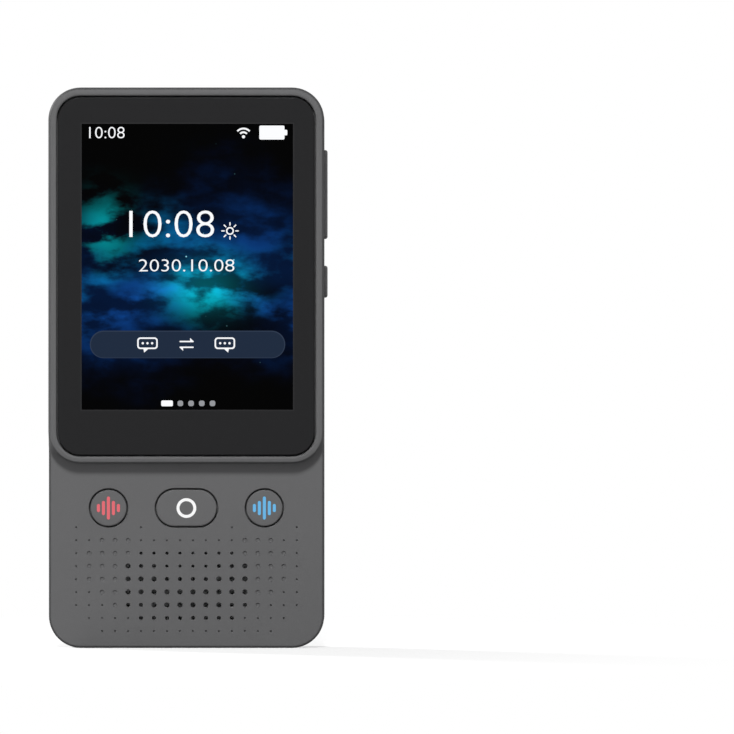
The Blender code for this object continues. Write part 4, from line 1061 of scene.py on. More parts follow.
def deliver(
    item: bpy.types.Object, finish: Finish, body: str = HOUSING, stands_for: Iterable[str] = ()
) -> bpy.types.Object:
    """Give a piece its finish, and let it ride on a body.

    Args:
        item: the piece, in place.
        finish: what it is made of.
        body: the body that carries it.
        stands_for: the part's nodes that it replaces.

    Returns:
        The piece.
    """
    item.data.materials.clear()
    item.data.materials.append(finish.material())
    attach(item, body)
    if stands_for:
        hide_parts(*stands_for)
    LOG.info("%s: %d faces, %s, rides on %s", item.name, len(item.data.polygons), finish.name, body)
    return item


class ShapeTree(Tree):
    """A Geometry Nodes tree with named inputs for its sizes."""

    def __init__(self, name: str, inputs: dict[str, str]) -> None:
        """Make the tree.

        Args:
            name: the tree's name.
            inputs: the socket type of each named input, after the geometry.
        """
        super().__init__(bpy.data.node_groups.new(name, "GeometryNodeTree"))
        face = self.tree.interface
        face.new_socket("Points", in_out="INPUT", socket_type="NodeSocketGeometry")
        self.sockets = {
            label: face.new_socket(label, in_out="INPUT", socket_type=kind).identifier
            for label, kind in inputs.items()
        }
        face.new_socket("Shape", in_out="OUTPUT", socket_type="NodeSocketGeometry")
        self.start = self.add("NodeGroupInput")

    def attribute(self, name: str, kind: str) -> bpy.types.NodeSocket:
        """Read a named attribute of the points."""
        return self.add("GeometryNodeInputNamedAttribute", {"data_type": kind}, {"Name": name}).outputs[0]

    def close(self, shape: bpy.types.NodeSocket) -> None:
        """End the tree in real geometry with its material.

        Args:
            shape: the socket that gives the geometry.
        """
        real = self.add("GeometryNodeRealizeInstances", None, {"Geometry": shape})
        dressed = self.add(
            "GeometryNodeSetMaterial",
            None,
            {"Geometry": real.outputs[0], "Material": self.start.outputs["Material"]},
        )
        self.add("NodeGroupOutput", None, {"Shape": dressed.outputs[0]})

    def run(self, name: str, points: Sequence["Spot"], values: dict[str, object]) -> bpy.types.Object:
        """Run the tree on a set of points.

        Args:
            name: the new object's name.
            points: the points, with their sizes and turns.
            values: a value for each named input.

        Returns:
            The result as a plain mesh.
        """
        mesh = bpy.data.meshes.new(name)
        mesh.from_pydata([spot.place for spot in points], [], [])
        sizes = mesh.attributes.new("size", "FLOAT_VECTOR", "POINT")
        sizes.data.foreach_set("vector", [value for spot in points for value in spot.size])
        turns = mesh.attributes.new("turn", "FLOAT", "POINT")
        turns.data.foreach_set("value", [spot.turn for spot in points])
        item = bpy.data.objects.new(name, mesh)
        bpy.context.scene.collection.objects.link(item)
        modifier = item.modifiers.new(name, "NODES")
        modifier.node_group = self.tree
        for label, value in values.items():
            modifier[self.sockets[label]] = value
        return settle(item)


@dataclass(frozen=True)
class Spot:
    """A point of a pattern: its place, its size along each axis and its turn."""

    place: tuple[float, float, float]
    size: tuple[float, float, float] = (1.0, 1.0, 1.0)
    turn: float = 0.0


class Perforation(ShapeTree):
    """A drill set on each point of a grid, to cut a pattern of holes."""

    def __init__(self) -> None:
        """Build the tree: grid steps times the pitch, and a drill at each."""
        super().__init__(
            "perforation",
            {
                "Drill": "NodeSocketObject",
                "Pitch": "NodeSocketFloat",
                "First row": "NodeSocketVector",
                "Material": "NodeSocketMaterial",
            },
        )
        grid = self.add("GeometryNodeInputPosition").outputs[0]
        spaced = self.add(
            "ShaderNodeVectorMath", {"operation": "SCALE"}, {0: grid, "Scale": self.start.outputs["Pitch"]}
        )
        inputs = {0: spaced.outputs[0], 1: self.start.outputs["First row"]}
        placed = self.add("ShaderNodeVectorMath", {"operation": "ADD"}, inputs)
        points = self.add(
            "GeometryNodeSetPosition",
            None,
            {"Geometry": self.start.outputs["Points"], "Position": placed.outputs[0]},
        )
        drill = self.add("GeometryNodeObjectInfo", None, {"Object": self.start.outputs["Drill"]})
        drills = self.add(
            "GeometryNodeInstanceOnPoints",
            None,
            {
                "Points": points.outputs[0],
                "Instance": drill.outputs["Geometry"],
                "Scale": self.attribute("size", "FLOAT_VECTOR"),
            },
        )
        self.close(drills.outputs[0])


class Tiles(ShapeTree):
    """Flat tiles with round corners, one on each point, facing the front."""

    def __init__(self) -> None:
        """Build the tree: a rectangle at each point, its corners rounded, then filled."""
        super().__init__("tiles", {"Corner": "NodeSocketFloat", "Material": "NodeSocketMaterial"})
        unit = self.add("GeometryNodeCurvePrimitiveQuadrilateral", None, {"Width": 1.0, "Height": 1.0})
        turn = self.add("ShaderNodeCombineXYZ", None, {"Z": self.attribute("turn", "FLOAT")})
        frames = self.add(
            "GeometryNodeInstanceOnPoints",
            None,
            {
                "Points": self.start.outputs["Points"],
                "Instance": unit.outputs[0],
                "Rotation": turn.outputs[0],
                "Scale": self.attribute("size", "FLOAT_VECTOR"),
            },
        )
        real = self.add("GeometryNodeRealizeInstances", None, {"Geometry": frames.outputs[0]})
        corner = self.start.outputs["Corner"]
        settings = {"mode": "POLY"}
        inputs = {"Curve": real.outputs[0], "Radius": corner, "Limit Radius": True, "Count": 8}
        round_frames = self.add("GeometryNodeFilletCurve", settings, inputs)
        filled = self.add("GeometryNodeFillCurve", None, {"Curve": round_frames.outputs[0]})
        self.close(filled.outputs[0])


@dataclass(frozen=True)
class Plane:
    """Where flat marks lie: a surface in front of which they stand a little."""

    depth: float
    proud: float = 0.02 * MM
    centre: Point = (0.0, 0.0)

    def lay(self, item: bpy.types.Object, facing: float = -1.0) -> bpy.types.Object:
        """Stand a flat mesh drawn in X and Y up on this surface, with a thickness.

        Args:
            item: the flat mesh.
            facing: -1 where the marks face the front, 1 where they face the back.

        Returns:
            The marks as a closed solid.
        """
        shape = bmesh.new()
        shape.from_mesh(item.data)
        bmesh.ops.remove_doubles(shape, verts=shape.verts, dist=WELD)
        for face in shape.faces:
            face.normal_update()
            if face.normal.z < 0:
                face.normal_flip()
        drawn = bmesh.ops.extrude_face_region(shape, geom=list(shape.faces), use_keep_orig=True)
        raised = {part for part in drawn["geom"] if isinstance(part, bmesh.types.BMVert)}
        reach = self.proud + 0.02 * MM
        for vert in shape.verts:
            across, up, _ = vert.co
            depth = self.depth + facing * (self.proud if vert in raised else self.proud - reach)
            vert.co = Vector((-facing * across + self.centre[0], depth, up + self.centre[1]))
        bmesh.ops.recalc_face_normals(shape, faces=shape.faces)
        shape.to_mesh(item.data)
        shape.free()
        return item


def lettering(name: str, words: str, height: float, centre: Point, width: float) -> bpy.types.Object:
    """Draw figures as a flat mesh in X and Y.

    Args:
        name: the object's name.
        words: the figures.
        height: height of a figure.
        centre: middle of the line.
        width: the line's width.

    Returns:
        The flat mesh.
    """
    curve = bpy.data.curves.new(name, "FONT")
    curve.body = words
    curve.resolution_u = 4
    curve.offset = -STROKE_THINNING
    source = bpy.data.objects.new(name, curve)
    bpy.context.scene.collection.objects.link(source)
    bpy.context.view_layer.update()
    mesh = bpy.data.meshes.new_from_object(source.evaluated_get(bpy.context.evaluated_depsgraph_get()))
    bpy.data.objects.remove(source)
    item = bpy.data.objects.new(name, mesh)
    bpy.context.scene.collection.objects.link(item)
    xs = [vert.co.x for vert in mesh.vertices]
    ys = [vert.co.y for vert in mesh.vertices]
    tall = height / (max(ys) - min(ys))
    wide = width / (max(xs) - min(xs))
    middle = ((max(xs) + min(xs)) / 2, (max(ys) + min(ys)) / 2)
    for vert in mesh.vertices:
        across, up = vert.co.x - middle[0], vert.co.y - middle[1]
        vert.co = Vector((across * wide + centre[0], up * tall + centre[1], 0.0))
    return item


def flat_ring(
    name: str, outer: float, inner: float, centre: Point, start: float = 0, end: float = 360
) -> bpy.types.Object:
    """Draw a flat ring, or a part of one, in X and Y.

    Args:
        name: the object's name.
        outer: the outer radius.
        inner: the inner radius.
        centre: its middle.
        start: angle in degrees at which it starts.
        end: angle in degrees at which it ends.

    Returns:
        The flat mesh.
    """
    shape = bmesh.new()
    steps = max(6, int(48 * (end - start) / 360))
    rows = []
    for step in range(steps + 1):
        angle = math.radians(start + (end - start) * step / steps)
        cosine, sine = math.cos(angle), math.sin(angle)
        rows.append([
            shape.verts.new((centre[0] + radius * cosine, centre[1] + radius * sine, 0.0))
            for radius in (inner, outer)
        ])
    for first, second in zip(rows, rows[1:]):
        shape.faces.new((first[0], first[1], second[1], second[0]))
    bmesh.ops.remove_doubles(shape, verts=shape.verts, dist=WELD)
    return plain_object(name, shape)


def flat_shape(name: str, outline: Sequence[Point]) -> bpy.types.Object:
    """Draw a flat outline in X and Y.

    Args:
        name: the object's name.
        outline: the points.

    Returns:
        The flat mesh.
    """
    shape = bmesh.new()
    shape.faces.new([shape.verts.new((across, up, 0.0)) for across, up in outline])
    return plain_object(name, shape)


@dataclass(frozen=True)
class FrontCasing:
    """Front shell: rounded edges, raised screen frame, wells and slots with broken edges."""

    slope: float = 3.3 * MM
    slope_power: float = 1.7
    bead_width: float = 1.05 * MM
    bead_depth: float = 0.75 * MM
    bead_drop: float = 0.35 * MM
    lip: float = 0.45 * MM
    seat: float = -5.9 * MM
    chamfer: float = 0.12 * MM
    over: float = 0.5 * MM
    slope_steps: int = 16
    window_half: float = 24.2 * MM
    window_reach: Point = (48.2 * MM, 115.8 * MM)
    window_corner: float = 0.5 * MM
    upper_hole: Point = (18.0 * MM, -0.7 * MM)
    lower_hole: Point = (21.9 * MM, -1.5 * MM)

    def outline(self, inset: float) -> list[Point]:
        """Outline of the casing, moved inwards."""
        half = SIZES.half_width - inset
        return rounded(-half, half, inset, SIZES.height - inset, SIZES.corner - inset)

    def frame_outline(self, drop: float, inset: float) -> list[Point]:
        """Outline of the screen frame, its foot lowered by a drop.

        Args:
            drop: how far the foot is lowered.
            inset: how far the other sides are moved inwards.

        Returns:
            The points.
        """
        half = SIZES.half_width - inset
        bottom = SIZES.frame_bottom - drop
        return rounded(-half, half, bottom, SIZES.height - inset, SIZES.corner - inset)

    def block(self) -> bpy.types.Object:
        """The casing's body up to the key panel.

        Returns:
            The solid.
        """
        bends = [
            (0.4 * MM, SIZES.seam_front, 0),
            (0, SIZES.seam_front, 0.15 * MM),
            (0, SIZES.keypad, SIZES.edge),
            (1.4 * MM, SIZES.keypad, 0),
        ]
        return ring_solid("casing_front", [(depth, self.outline(inset)) for inset, depth in filleted(bends)])

    def frame(self) -> bpy.types.Object:
        """The raised screen frame, with a hollow slope down to the keys.

        Returns:
            The solid.
        """
        rings = [(SIZES.keypad + SIZES.edge, self.frame_outline(self.slope, 0))]
        rise = SIZES.keypad - SIZES.front - self.bead_depth
        for index in range(self.slope_steps + 1):
            share = index / self.slope_steps
            drop = self.slope + (self.bead_drop - self.slope) * share
            rings.append((SIZES.keypad - rise * share**self.slope_power, self.frame_outline(drop, 0)))
        bends = [
            (0.0, SIZES.front + self.bead_depth, 0),
            (0.02 * MM, SIZES.front + 0.95 * self.bead_depth, 0.2 * MM),
            (0.4 * self.bead_width, SIZES.front + 0.22 * self.bead_depth, 0.4 * MM),
            (self.bead_width, SIZES.front, 0.6 * MM),
            (self.bead_width + 0.1 * MM, SIZES.front, 0),
        ]
        for inset, depth in filleted(bends)[1:]:
            rings.append((depth, self.frame_outline(self.bead_drop - inset, inset)))
        return ring_solid("frame_tool", rings)

    def opening(
        self, name: str, outline: Pill, reach: Point, facing: Facing, out: int, gap: float = SIZES.gap
    ) -> bpy.types.Object:
        """A cutter with a broken edge at its mouth.

        Args:
            name: the cutter's name.
            outline: outline of what goes in the opening.
            reach: depths of the surface that it opens in and of its end.
            facing: the way that it runs.
            out: 1 or -1, the way out of the surface.
            gap: clearance all round.

        Returns:
            The cutter.
        """
        mouth, floor = reach
        rings = [
            (mouth + out * self.over, outline.grown(self.chamfer + self.over + gap)),
            (mouth - out * self.chamfer, outline.grown(gap)),
            (floor, outline.grown(gap)),
        ]
        return ring_solid(name, rings, facing)

    def seat_outline(self, grow: float) -> list[Point]:
        """Outline of the glass's seat, grown all round.

        Args:
            grow: how far past the clearance.

        Returns:
            The points.
        """
        grow += SIZES.gap
        half = SIZES.glass_half + grow
        low, high = SIZES.glass_bottom - grow, SIZES.glass_top + grow
        return rounded(-half, half, low, high, SIZES.glass_corner + grow)

    def cut_front(self, shell: bpy.types.Object) -> None:
        """Cut the cavity, the glass seat, the display window and the key wells.

        Args:
            shell: the casing.
        """
        inner = SIZES.half_width - SIZES.wall
        hollow = rounded(
            -inner, inner, SIZES.wall, SIZES.height - SIZES.wall, SIZES.corner - SIZES.wall
        )
        depths = (SIZES.inner_front, SIZES.seam_front + 2 * MM)
        combine(shell, ring_solid("cavity", [(depth, hollow) for depth in depths]))
        rings = [(SIZES.front - self.over, self.seat_outline(self.lip + self.over))]
        for index in range(FILLET_STEPS + 1):
            angle = math.radians(90 - 90 / FILLET_STEPS * index)
            depth = SIZES.front + self.lip * (1 - math.sin(angle))
            rings.append((depth, self.seat_outline(self.lip * (1 - math.cos(angle)))))
        combine(shell, ring_solid("seat", [*rings, (self.seat, self.seat_outline(0.0))]))
        window = rounded(-self.window_half, self.window_half, *self.window_reach, self.window_corner)
        depths = (self.seat - MM, SIZES.inner_front + MM)
        combine(shell, ring_solid("window", [(depth, window) for depth in depths]))
        for side in (-1, 0, 1):
            size = (SIZES.home_width, SIZES.home_height) if side == 0 else (2 * SIZES.key_radius,) * 2
            key = Pill(*size, (side * SIZES.key_spacing, SIZES.key_height))
            reach = (SIZES.keypad, SIZES.inner_front + MM)
            combine(shell, self.opening(f"well_{side}", key, reach, Facing.FRONT, -1))

    def cut_edges(self, shell: bpy.types.Object) -> None:
        """Cut the side slots, the port and the microphone holes.

        Args:
            shell: the casing.
        """
        depth = 2 * SIZES.wall
        sides = (
            ("rocker", SIZES.rocker_length, SIZES.rocker_middle),
            ("power", SIZES.power_length, SIZES.power_middle),
        )
        for name, length, middle in sides:
            key = Pill(SIZES.side_width, length, (SIZES.side_plane, middle))
            reach = (SIZES.half_width, SIZES.half_width - depth)
            combine(shell, self.opening(name, key, reach, Facing.SIDE, 1))
        top = (SIZES.height, SIZES.height - depth)
        port = Pill(SIZES.port_width, SIZES.port_depth, SIZES.port)
        combine(shell, self.opening("port", port, top, Facing.TOP, 1))
        holes = (("upper_hole", self.upper_hole, top, 1), ("lower_hole", self.lower_hole, (0.0, depth), -1))
        for name, centre, reach, out in holes:
            combine(shell, self.opening(name, Pill(MM, MM, centre), reach, Facing.TOP, out, 0.0))

    def build(self, holes: Iterable[bpy.types.Object]) -> None:
        """Build the shell, with the holes of the speaker grille.

        Args:
            holes: cutters of the holes.
        """
        shell = self.block()
        combine(shell, self.frame(), "UNION")
        self.cut_front(shell)
        self.cut_edges(shell)
        settle(shell)
        for cutter in holes:
            combine(shell, cutter)
        deliver(smoothed(shell), FRONT_PLASTIC, stands_for=("front_shell",))


class Hole(Enum):
    """Kinds of hole in the grille: radius, and how deep it goes."""

    BIG = (0.52 * MM, 2.6 * MM)
    MIDDLE = (0.40 * MM, 2.6 * MM)
    SMALL = (0.30 * MM, 2.6 * MM)
    DOT = (0.18 * MM, 0.5 * MM)
    DISH = (0.46 * MM, 0.46 * MM)


@dataclass(frozen=True)
class Grille:
    """Speaker grille: pierced holes in the middle, dots and shallow dishes round them."""

    pitch: float = 2.79 * MM
    first_row: float = 3.65 * MM
    sides: int = 24
    rows: tuple[str, ...] = (
        "ddddddd  ",
        "mmmmdddd ",
        "bbbmmoddd",
        "bbbbboodd",
        "mmbbboood",
        "ssmmboood",
        "ssssooood",
        "ddddooodd",
        "   d    d",
    )

    def spots(self, dishes: bool) -> list[Spot]:
        """The holes, or else the dishes, as steps of the grid from the middle.

        Args:
            dishes: whether the dishes are wanted.

        Returns:
            The points.
        """
        kinds = {"b": Hole.BIG, "m": Hole.MIDDLE, "s": Hole.SMALL, "d": Hole.DOT, "o": Hole.DISH}
        found = []
        for row, line in enumerate(self.rows):
            for column, mark in enumerate(line):
                if mark == " " or (kinds[mark] is Hole.DISH) != dishes:
                    continue
                radius, reach = kinds[mark].value
                for side in (-1, 1):
                    found.append(Spot((side * (column + 0.5), 0.0, row), (radius, reach, radius)))
        return found

    def drill(self, name: str, line: Sequence[Point]) -> bpy.types.Object:
        """A cutter of unit size, turned from a line of (radius, depth) points.

        Args:
            name: the cutter's name.
            line: the points.

        Returns:
            The solid.
        """
        turns = [2 * math.pi / self.sides * step for step in range(self.sides)]
        rings = [
            (depth, [(radius * math.cos(turn), radius * math.sin(turn)) for turn in turns])
            for radius, depth in line
        ]
        return ring_solid(name, rings)

    def cutters(self) -> list[bpy.types.Object]:
        """The cutters of the whole pattern.

        Returns:
            The pierced holes' cutter and the dishes' cutter.
        """
        tree = Perforation()
        hole = self.drill("hole_drill", [(1.5, -0.12), (1.2, 0.0), (1.0, 0.06), (1.0, 1.0)])
        dish = self.drill("dish_drill", [(1.3, -0.3), (1.1, -0.05), (0.98, 0.12), (0.9, 0.5), (0.62, 0.6)])
        made = []
        for name, drill, dishes in (("holes", hole, False), ("dishes", dish, True)):
            values = {
                "Drill": drill,
                "Pitch": self.pitch,
                "First row": (0.0, SIZES.keypad, self.first_row),
                "Material": FRONT_PLASTIC.material(),
            }
            made.append(tree.run(name, self.spots(dishes), values))
            bpy.data.objects.remove(drill)
        return made


@dataclass(frozen=True)
class RearCasing:
    """Rear shell: a back that curves into the sides, the camera skirt and the strap pocket."""

    side_curve: float = 12.2 * MM
    top_curve: float = 5.4 * MM
    bottom_curve: float = 9.6 * MM
    lip_inset: float = 1.8 * MM
    inner_inset: float = 2.6 * MM
    lip_reach: float = 1.0 * MM
    groove: float = 0.45 * MM
    fullness: float = 1.25
    curve_steps: int = 24
    skirt_top: float = 7.3 * MM
    skirt_shelf: float = 9.0 * MM
    skirt_radius: float = 10.8 * MM
    strap_low: float = 116.5 * MM
    strap_ends: Point = (3.7 * MM, 15.5 * MM)
    strap_depths: Point = (2.7 * MM, 5.2 * MM)
    strap_wall: float = 1.2 * MM
    strap_foot: float = 0.3 * MM
    strap_corner: float = 0.6 * MM
    block_depths: Point = (1.9 * MM, 4.95 * MM)
    block_top: float = 118.6 * MM
    bar_place: Point = (4.1 * MM, 118.4 * MM)
    bar_radius: float = 0.5 * MM

    def outline(self, turn: float, inset: float) -> list[Point]:
        """Outline of the shell part of the way round its curve, moved inwards.

        Args:
            turn: the angle round the curve.
            inset: how far it is moved inwards.

        Returns:
            The points.
        """
        share = 1 - math.cos(turn)
        half = SIZES.half_width - inset - self.side_curve * share
        low = inset + self.bottom_curve * share
        high = SIZES.height - inset - self.top_curve * share
        return rounded(-half, half, low, high, SIZES.corner - inset)

    def shell(self) -> bpy.types.Object:
        """The curved wall with its lip, inside and outside in one.

        Returns:
            The solid.
        """
        turns = [math.radians(90 * step / self.curve_steps) for step in range(self.curve_steps + 1)]
        rise = SIZES.rear - SIZES.seam_back
        seam = SIZES.seam_back
        rings = []
        for turn in reversed(turns):
            depth = seam + (SIZES.rear_inner - seam) * math.sin(turn)
            rings.append((depth, self.outline(turn, self.inner_inset)))
        lip = seam - self.lip_reach
        rings += [(lip, self.outline(0, self.inner_inset)), (lip, self.outline(0, self.lip_inset))]
        step = SIZES.seam_front + 0.02 * MM
        rings += [(step, self.outline(0, self.lip_inset)), (step, self.outline(0, self.groove))]
        rings += [(seam, self.outline(0, self.groove)), (seam, self.outline(0, 0.12 * MM))]
        for turn in turns[1:]:
            across, up = (abs(value) ** self.fullness for value in (math.cos(turn), math.sin(turn)))
            rings.append((seam + rise * up, self.outline(math.acos(min(across, 1.0)), 0)))
        return ring_solid("casing_rear", rings)

    def skirt(self) -> bpy.types.Object:
        """The raised skirt that flares into the back round the camera.

        Returns:
            The solid.
        """
        line = [(0.0, self.skirt_top)]
        line += filleted([
            (8.0 * MM, self.skirt_top, 0),
            (self.skirt_shelf, self.skirt_top, 0.3 * MM),
            (self.skirt_radius - 0.35 * MM, SIZES.rear + 0.08 * MM, 1.2 * MM),
            (self.skirt_radius + 0.2 * MM, SIZES.rear, 0),
        ])
        low = SIZES.rear - 0.7 * MM
        line += [(self.skirt_radius + 0.3 * MM, SIZES.rear - 0.02 * MM), (self.skirt_radius, low), (0.0, low)]
        return turned("skirt", line, SIZES.camera)

    def well(self) -> bpy.types.Object:
        """Cutter of the camera's stepped seat.

        Returns:
            The solid.
        """
        line = [
            (0.0, 9 * MM),
            (9.0 * MM, 9 * MM),
            (8.4 * MM, self.skirt_top - 0.12 * MM),
            (8.4 * MM, 6.7 * MM),
            (4.2 * MM, 6.7 * MM),
            (4.2 * MM, SIZES.rear_inner - 2 * MM),
            (0.0, SIZES.rear_inner - 2 * MM),
        ]
        return turned("well", line, SIZES.camera)

    def strap_cutters(self, shell: bpy.types.Object) -> None:
        """Add the strap pocket's block, and cut the pocket.

        Args:
            shell: the casing.
        """
        (left, right), (near, far) = self.strap_ends, self.strap_depths
        wall = self.strap_wall
        block = rounded(left - wall, right + wall, *self.block_depths, self.strap_foot)
        reach = (self.strap_low - wall, self.block_top)
        combine(shell, ring_solid("strap_block", [(up, block) for up in reach], Facing.TOP), "UNION")
        mouth = SIZES.height - 0.25 * MM
        steps = (
            (mouth + MM, wall),
            (mouth - 0.2 * MM, 0.0),
            (self.strap_low + self.strap_foot, 0.0),
            (self.strap_low, -self.strap_foot),
        )
        rings = [
            (up, rounded(left - grow, right + grow, near - grow, far + grow, self.strap_corner + grow))
            for up, grow in steps
        ]
        combine(shell, ring_solid("pocket", rings, Facing.TOP))

    def bar(self) -> bpy.types.Object:
        """The metal bar across the pocket.

        Returns:
            The solid.
        """
        left, right = (self.strap_ends[0] - 0.6 * MM, self.strap_ends[1] + 0.6 * MM)
        thick, edge = self.bar_radius, 0.1 * MM
        bends = [(0, left, 0), (thick, left, edge), (thick, right, edge), (0, right, 0)]
        return turned("lanyard_bar", filleted(bends), self.bar_place, Facing.SIDE)

    def build(self) -> None:
        """Build the shell and the bar."""
        shell = self.shell()
        combine(shell, self.skirt(), "UNION")
        combine(shell, self.well())
        self.strap_cutters(shell)
        deliver(smoothed(shell), REAR_PLASTIC, stands_for=("rear_shell",))
        deliver(smoothed(self.bar()), DARK_STEEL, stands_for=("strap_bar",))


@dataclass(frozen=True)
class Screen:
    """Cover glass with its lit picture, and the signs on the screen."""

    front: float = -7.6 * MM
    back: float = -6.8 * MM
    edge: float = 0.25 * MM
    lit_left: float = -22.45 * MM
    lit_right: float = 22.95 * MM
    lit_bottom: float = 51.2 * MM
    lit_top: float = 112.6 * MM
    status_row: float = 110.7 * MM
    language_row: float = 65.25 * MM
    page_row: float = 52.6 * MM
    sun: Point = (9.4 * MM, 89.6 * MM)

    def glass(self) -> bpy.types.Object:
        """The glass, its front edge ground round.

        Returns:
            The solid.
        """
        bends = [
            (1.5 * MM, self.back, 0),
            (0.0, self.back, 0.08 * MM),
            (0.0, self.front, self.edge),
            (1.5 * MM, self.front, 0),
        ]
        rings = []
        for inset, depth in filleted(bends):
            half = SIZES.glass_half - inset
            low, high = SIZES.glass_bottom + inset, SIZES.glass_top - inset
            rings.append((depth, rounded(-half, half, low, high, SIZES.glass_corner - inset)))
        return ring_solid("screen_glass", rings)

    def tiles(self, name: str, finish: Finish, corner: float, places: Sequence[Tile]) -> bpy.types.Object:
        """Round-cornered tiles, each given by its middle and its two sizes.

        Args:
            name: the object's name.
            finish: what they are made of.
            corner: their radius.
            places: the tiles.

        Returns:
            The flat mesh.
        """
        spots = [Spot((across, up, 0.0), (width, height, 1.0)) for across, up, width, height in places]
        return TILES.run(name, spots, {"Corner": corner, "Material": finish.material()})

    def status_signs(self) -> list[bpy.types.Object]:
        """Time of day, wireless sign and battery along the top.

        Returns:
            The flat meshes.
        """
        row = self.status_row
        foot = (12.3 * MM, row - 0.9 * MM)
        wireless = [flat_ring("wave", 0.34 * MM, 0.0, foot)]
        for radius in (1.15 * MM, 1.95 * MM):
            wireless.append(flat_ring("wave", radius, radius - 0.38 * MM, foot, 42, 138))
        return [
            lettering("status_time", "10:08", 2.45 * MM, (-17.0 * MM, row), 7.6 * MM),
            *wireless,
            self.tiles("cell", WHITE_LIGHT, 0.3 * MM, [(18.4 * MM, row, 5.4 * MM, 3.0 * MM)]),
            self.tiles("cell_tip", WHITE_LIGHT, 0.25 * MM, [(21.35 * MM, row, 0.7 * MM, 1.2 * MM)]),
        ]

    def clock_signs(self) -> list[bpy.types.Object]:
        """Large time of day, a sun beside it, and the date below.

        Returns:
            The flat meshes.
        """
        sun = self.sun
        rays = []
        for step in range(8):
            angle = math.radians(45 * step)
            place = (sun[0] + 1.5 * MM * math.cos(angle), sun[1] + 1.5 * MM * math.sin(angle), 0.0)
            rays.append(Spot(place, (0.75 * MM, 0.26 * MM, 1.0), angle))
        return [
            lettering("clock_time", "10:08", 5.75 * MM, (-3.1 * MM, 91.1 * MM), 18.2 * MM),
            TILES.run("rays", rays, {"Corner": 0.12 * MM, "Material": WHITE_LIGHT.material()}),
            flat_ring("sun", 0.85 * MM, 0.55 * MM, sun),
            lettering("date", "2030.10.08", 2.6 * MM, (0.1 * MM, 82.2 * MM), 20.5 * MM),
        ]

    def swap_signs(self, row: float) -> list[bpy.types.Object]:
        """Two arrows that face opposite ways, and a speech bubble on each side.

        Args:
            row: height of their line.

        Returns:
            The flat meshes.
        """
        made = []
        for way in (1, -1):
            level = row + way * 0.62 * MM
            middle = 0.1 * MM
            made.append(self.tiles("shaft", WHITE_LIGHT, 0.1 * MM, [(middle, level, 3.0 * MM, 0.3 * MM)]))
            tip = [(way * 1.55 * MM, 0.0), (way * 0.75 * MM, way * 0.75 * MM), (way * 0.75 * MM, 0.0)]
            made.append(flat_shape("tip", [(middle + x, level + y) for x, y in tip]))
        for side in (-1, 1):
            middle = side * 8.3 * MM
            bubbles = ((2.2 * MM, 1.0 * MM, 1.5 * MM, 0.7 * MM), (1.88 * MM, 0.68 * MM, 1.18 * MM, 0.42 * MM))
            made.append(self.band(*(
                rounded(middle - half, middle + half, row - low, row + high, corner)
                for half, low, high, corner in bubbles
            )))
            tail = [(-0.9 * MM, -0.85 * MM), (0.3 * MM, -0.85 * MM), (-0.7 * MM, -1.75 * MM)]
            made.append(flat_shape("tail", [(middle + side * -x, row + y) for x, y in tail]))
            dots = [(middle + step * 1.0 * MM, row + 0.25 * MM, 0.5 * MM, 0.5 * MM) for step in (-1, 0, 1)]
            made.append(self.tiles("dots", WHITE_LIGHT, 0.25 * MM, dots))
        return made

    def band(self, outer: Sequence[Point], inner: Sequence[Point]) -> bpy.types.Object:
        """Draw the flat band between two outlines.

        Args:
            outer: the outer outline.
            inner: the inner outline, with as many points.

        Returns:
            The flat mesh.
        """
        shape = bmesh.new()
        loops = [[shape.verts.new((x, y, 0.0)) for x, y in line] for line in (outer, inner)]
        for index in range(len(outer)):
            after = (index + 1) % len(outer)
            shape.faces.new((loops[0][index], loops[0][after], loops[1][after], loops[1][index]))
        return plain_object("band", shape)

    def build(self) -> None:
        """Build the glass and the signs on it."""
        field = (self.lit_left, self.lit_right, self.lit_bottom, self.lit_top)
        glass = LitScreen("lit_screen", "cover_glass", linear(38, 38, 39), *field)
        deliver(smoothed(self.glass()), glass, stands_for=("cover_glass",))
        base, raised, top = (Plane(self.front, height) for height in (0.01 * MM, 0.03 * MM, 0.05 * MM))
        row = self.language_row
        edge = self.tiles("language_bar_edge", SLATE_EDGE, 2.9 * MM, [(0.3 * MM, row, 41.9 * MM, 5.9 * MM)])
        deliver(base.lay(edge), SLATE_EDGE)
        inner = (0.3 * MM, row - 0.05 * MM, 41.5 * MM, 5.55 * MM)
        bar = self.tiles("language_bar", SLATE_LIGHT, 2.8 * MM, [inner])
        deliver(raised.lay(bar), SLATE_LIGHT)
        deliver(top.lay(joined("swap_signs", self.swap_signs(row))), WHITE_LIGHT)
        signs = self.status_signs() + self.clock_signs()
        page = (-4.1 * MM, self.page_row, 2.5 * MM, 1.25 * MM)
        signs.append(self.tiles("page", WHITE_LIGHT, 0.3 * MM, [page]))
        deliver(raised.lay(joined("screen_signs", signs)), WHITE_LIGHT)
        dots = [(x * MM, self.page_row, 1.2 * MM, 1.2 * MM) for x in (-1.25, 1.05, 3.35, 5.65)]
        deliver(raised.lay(self.tiles("page_dots", GREY_LIGHT, 0.45 * MM, dots)), GREY_LIGHT)


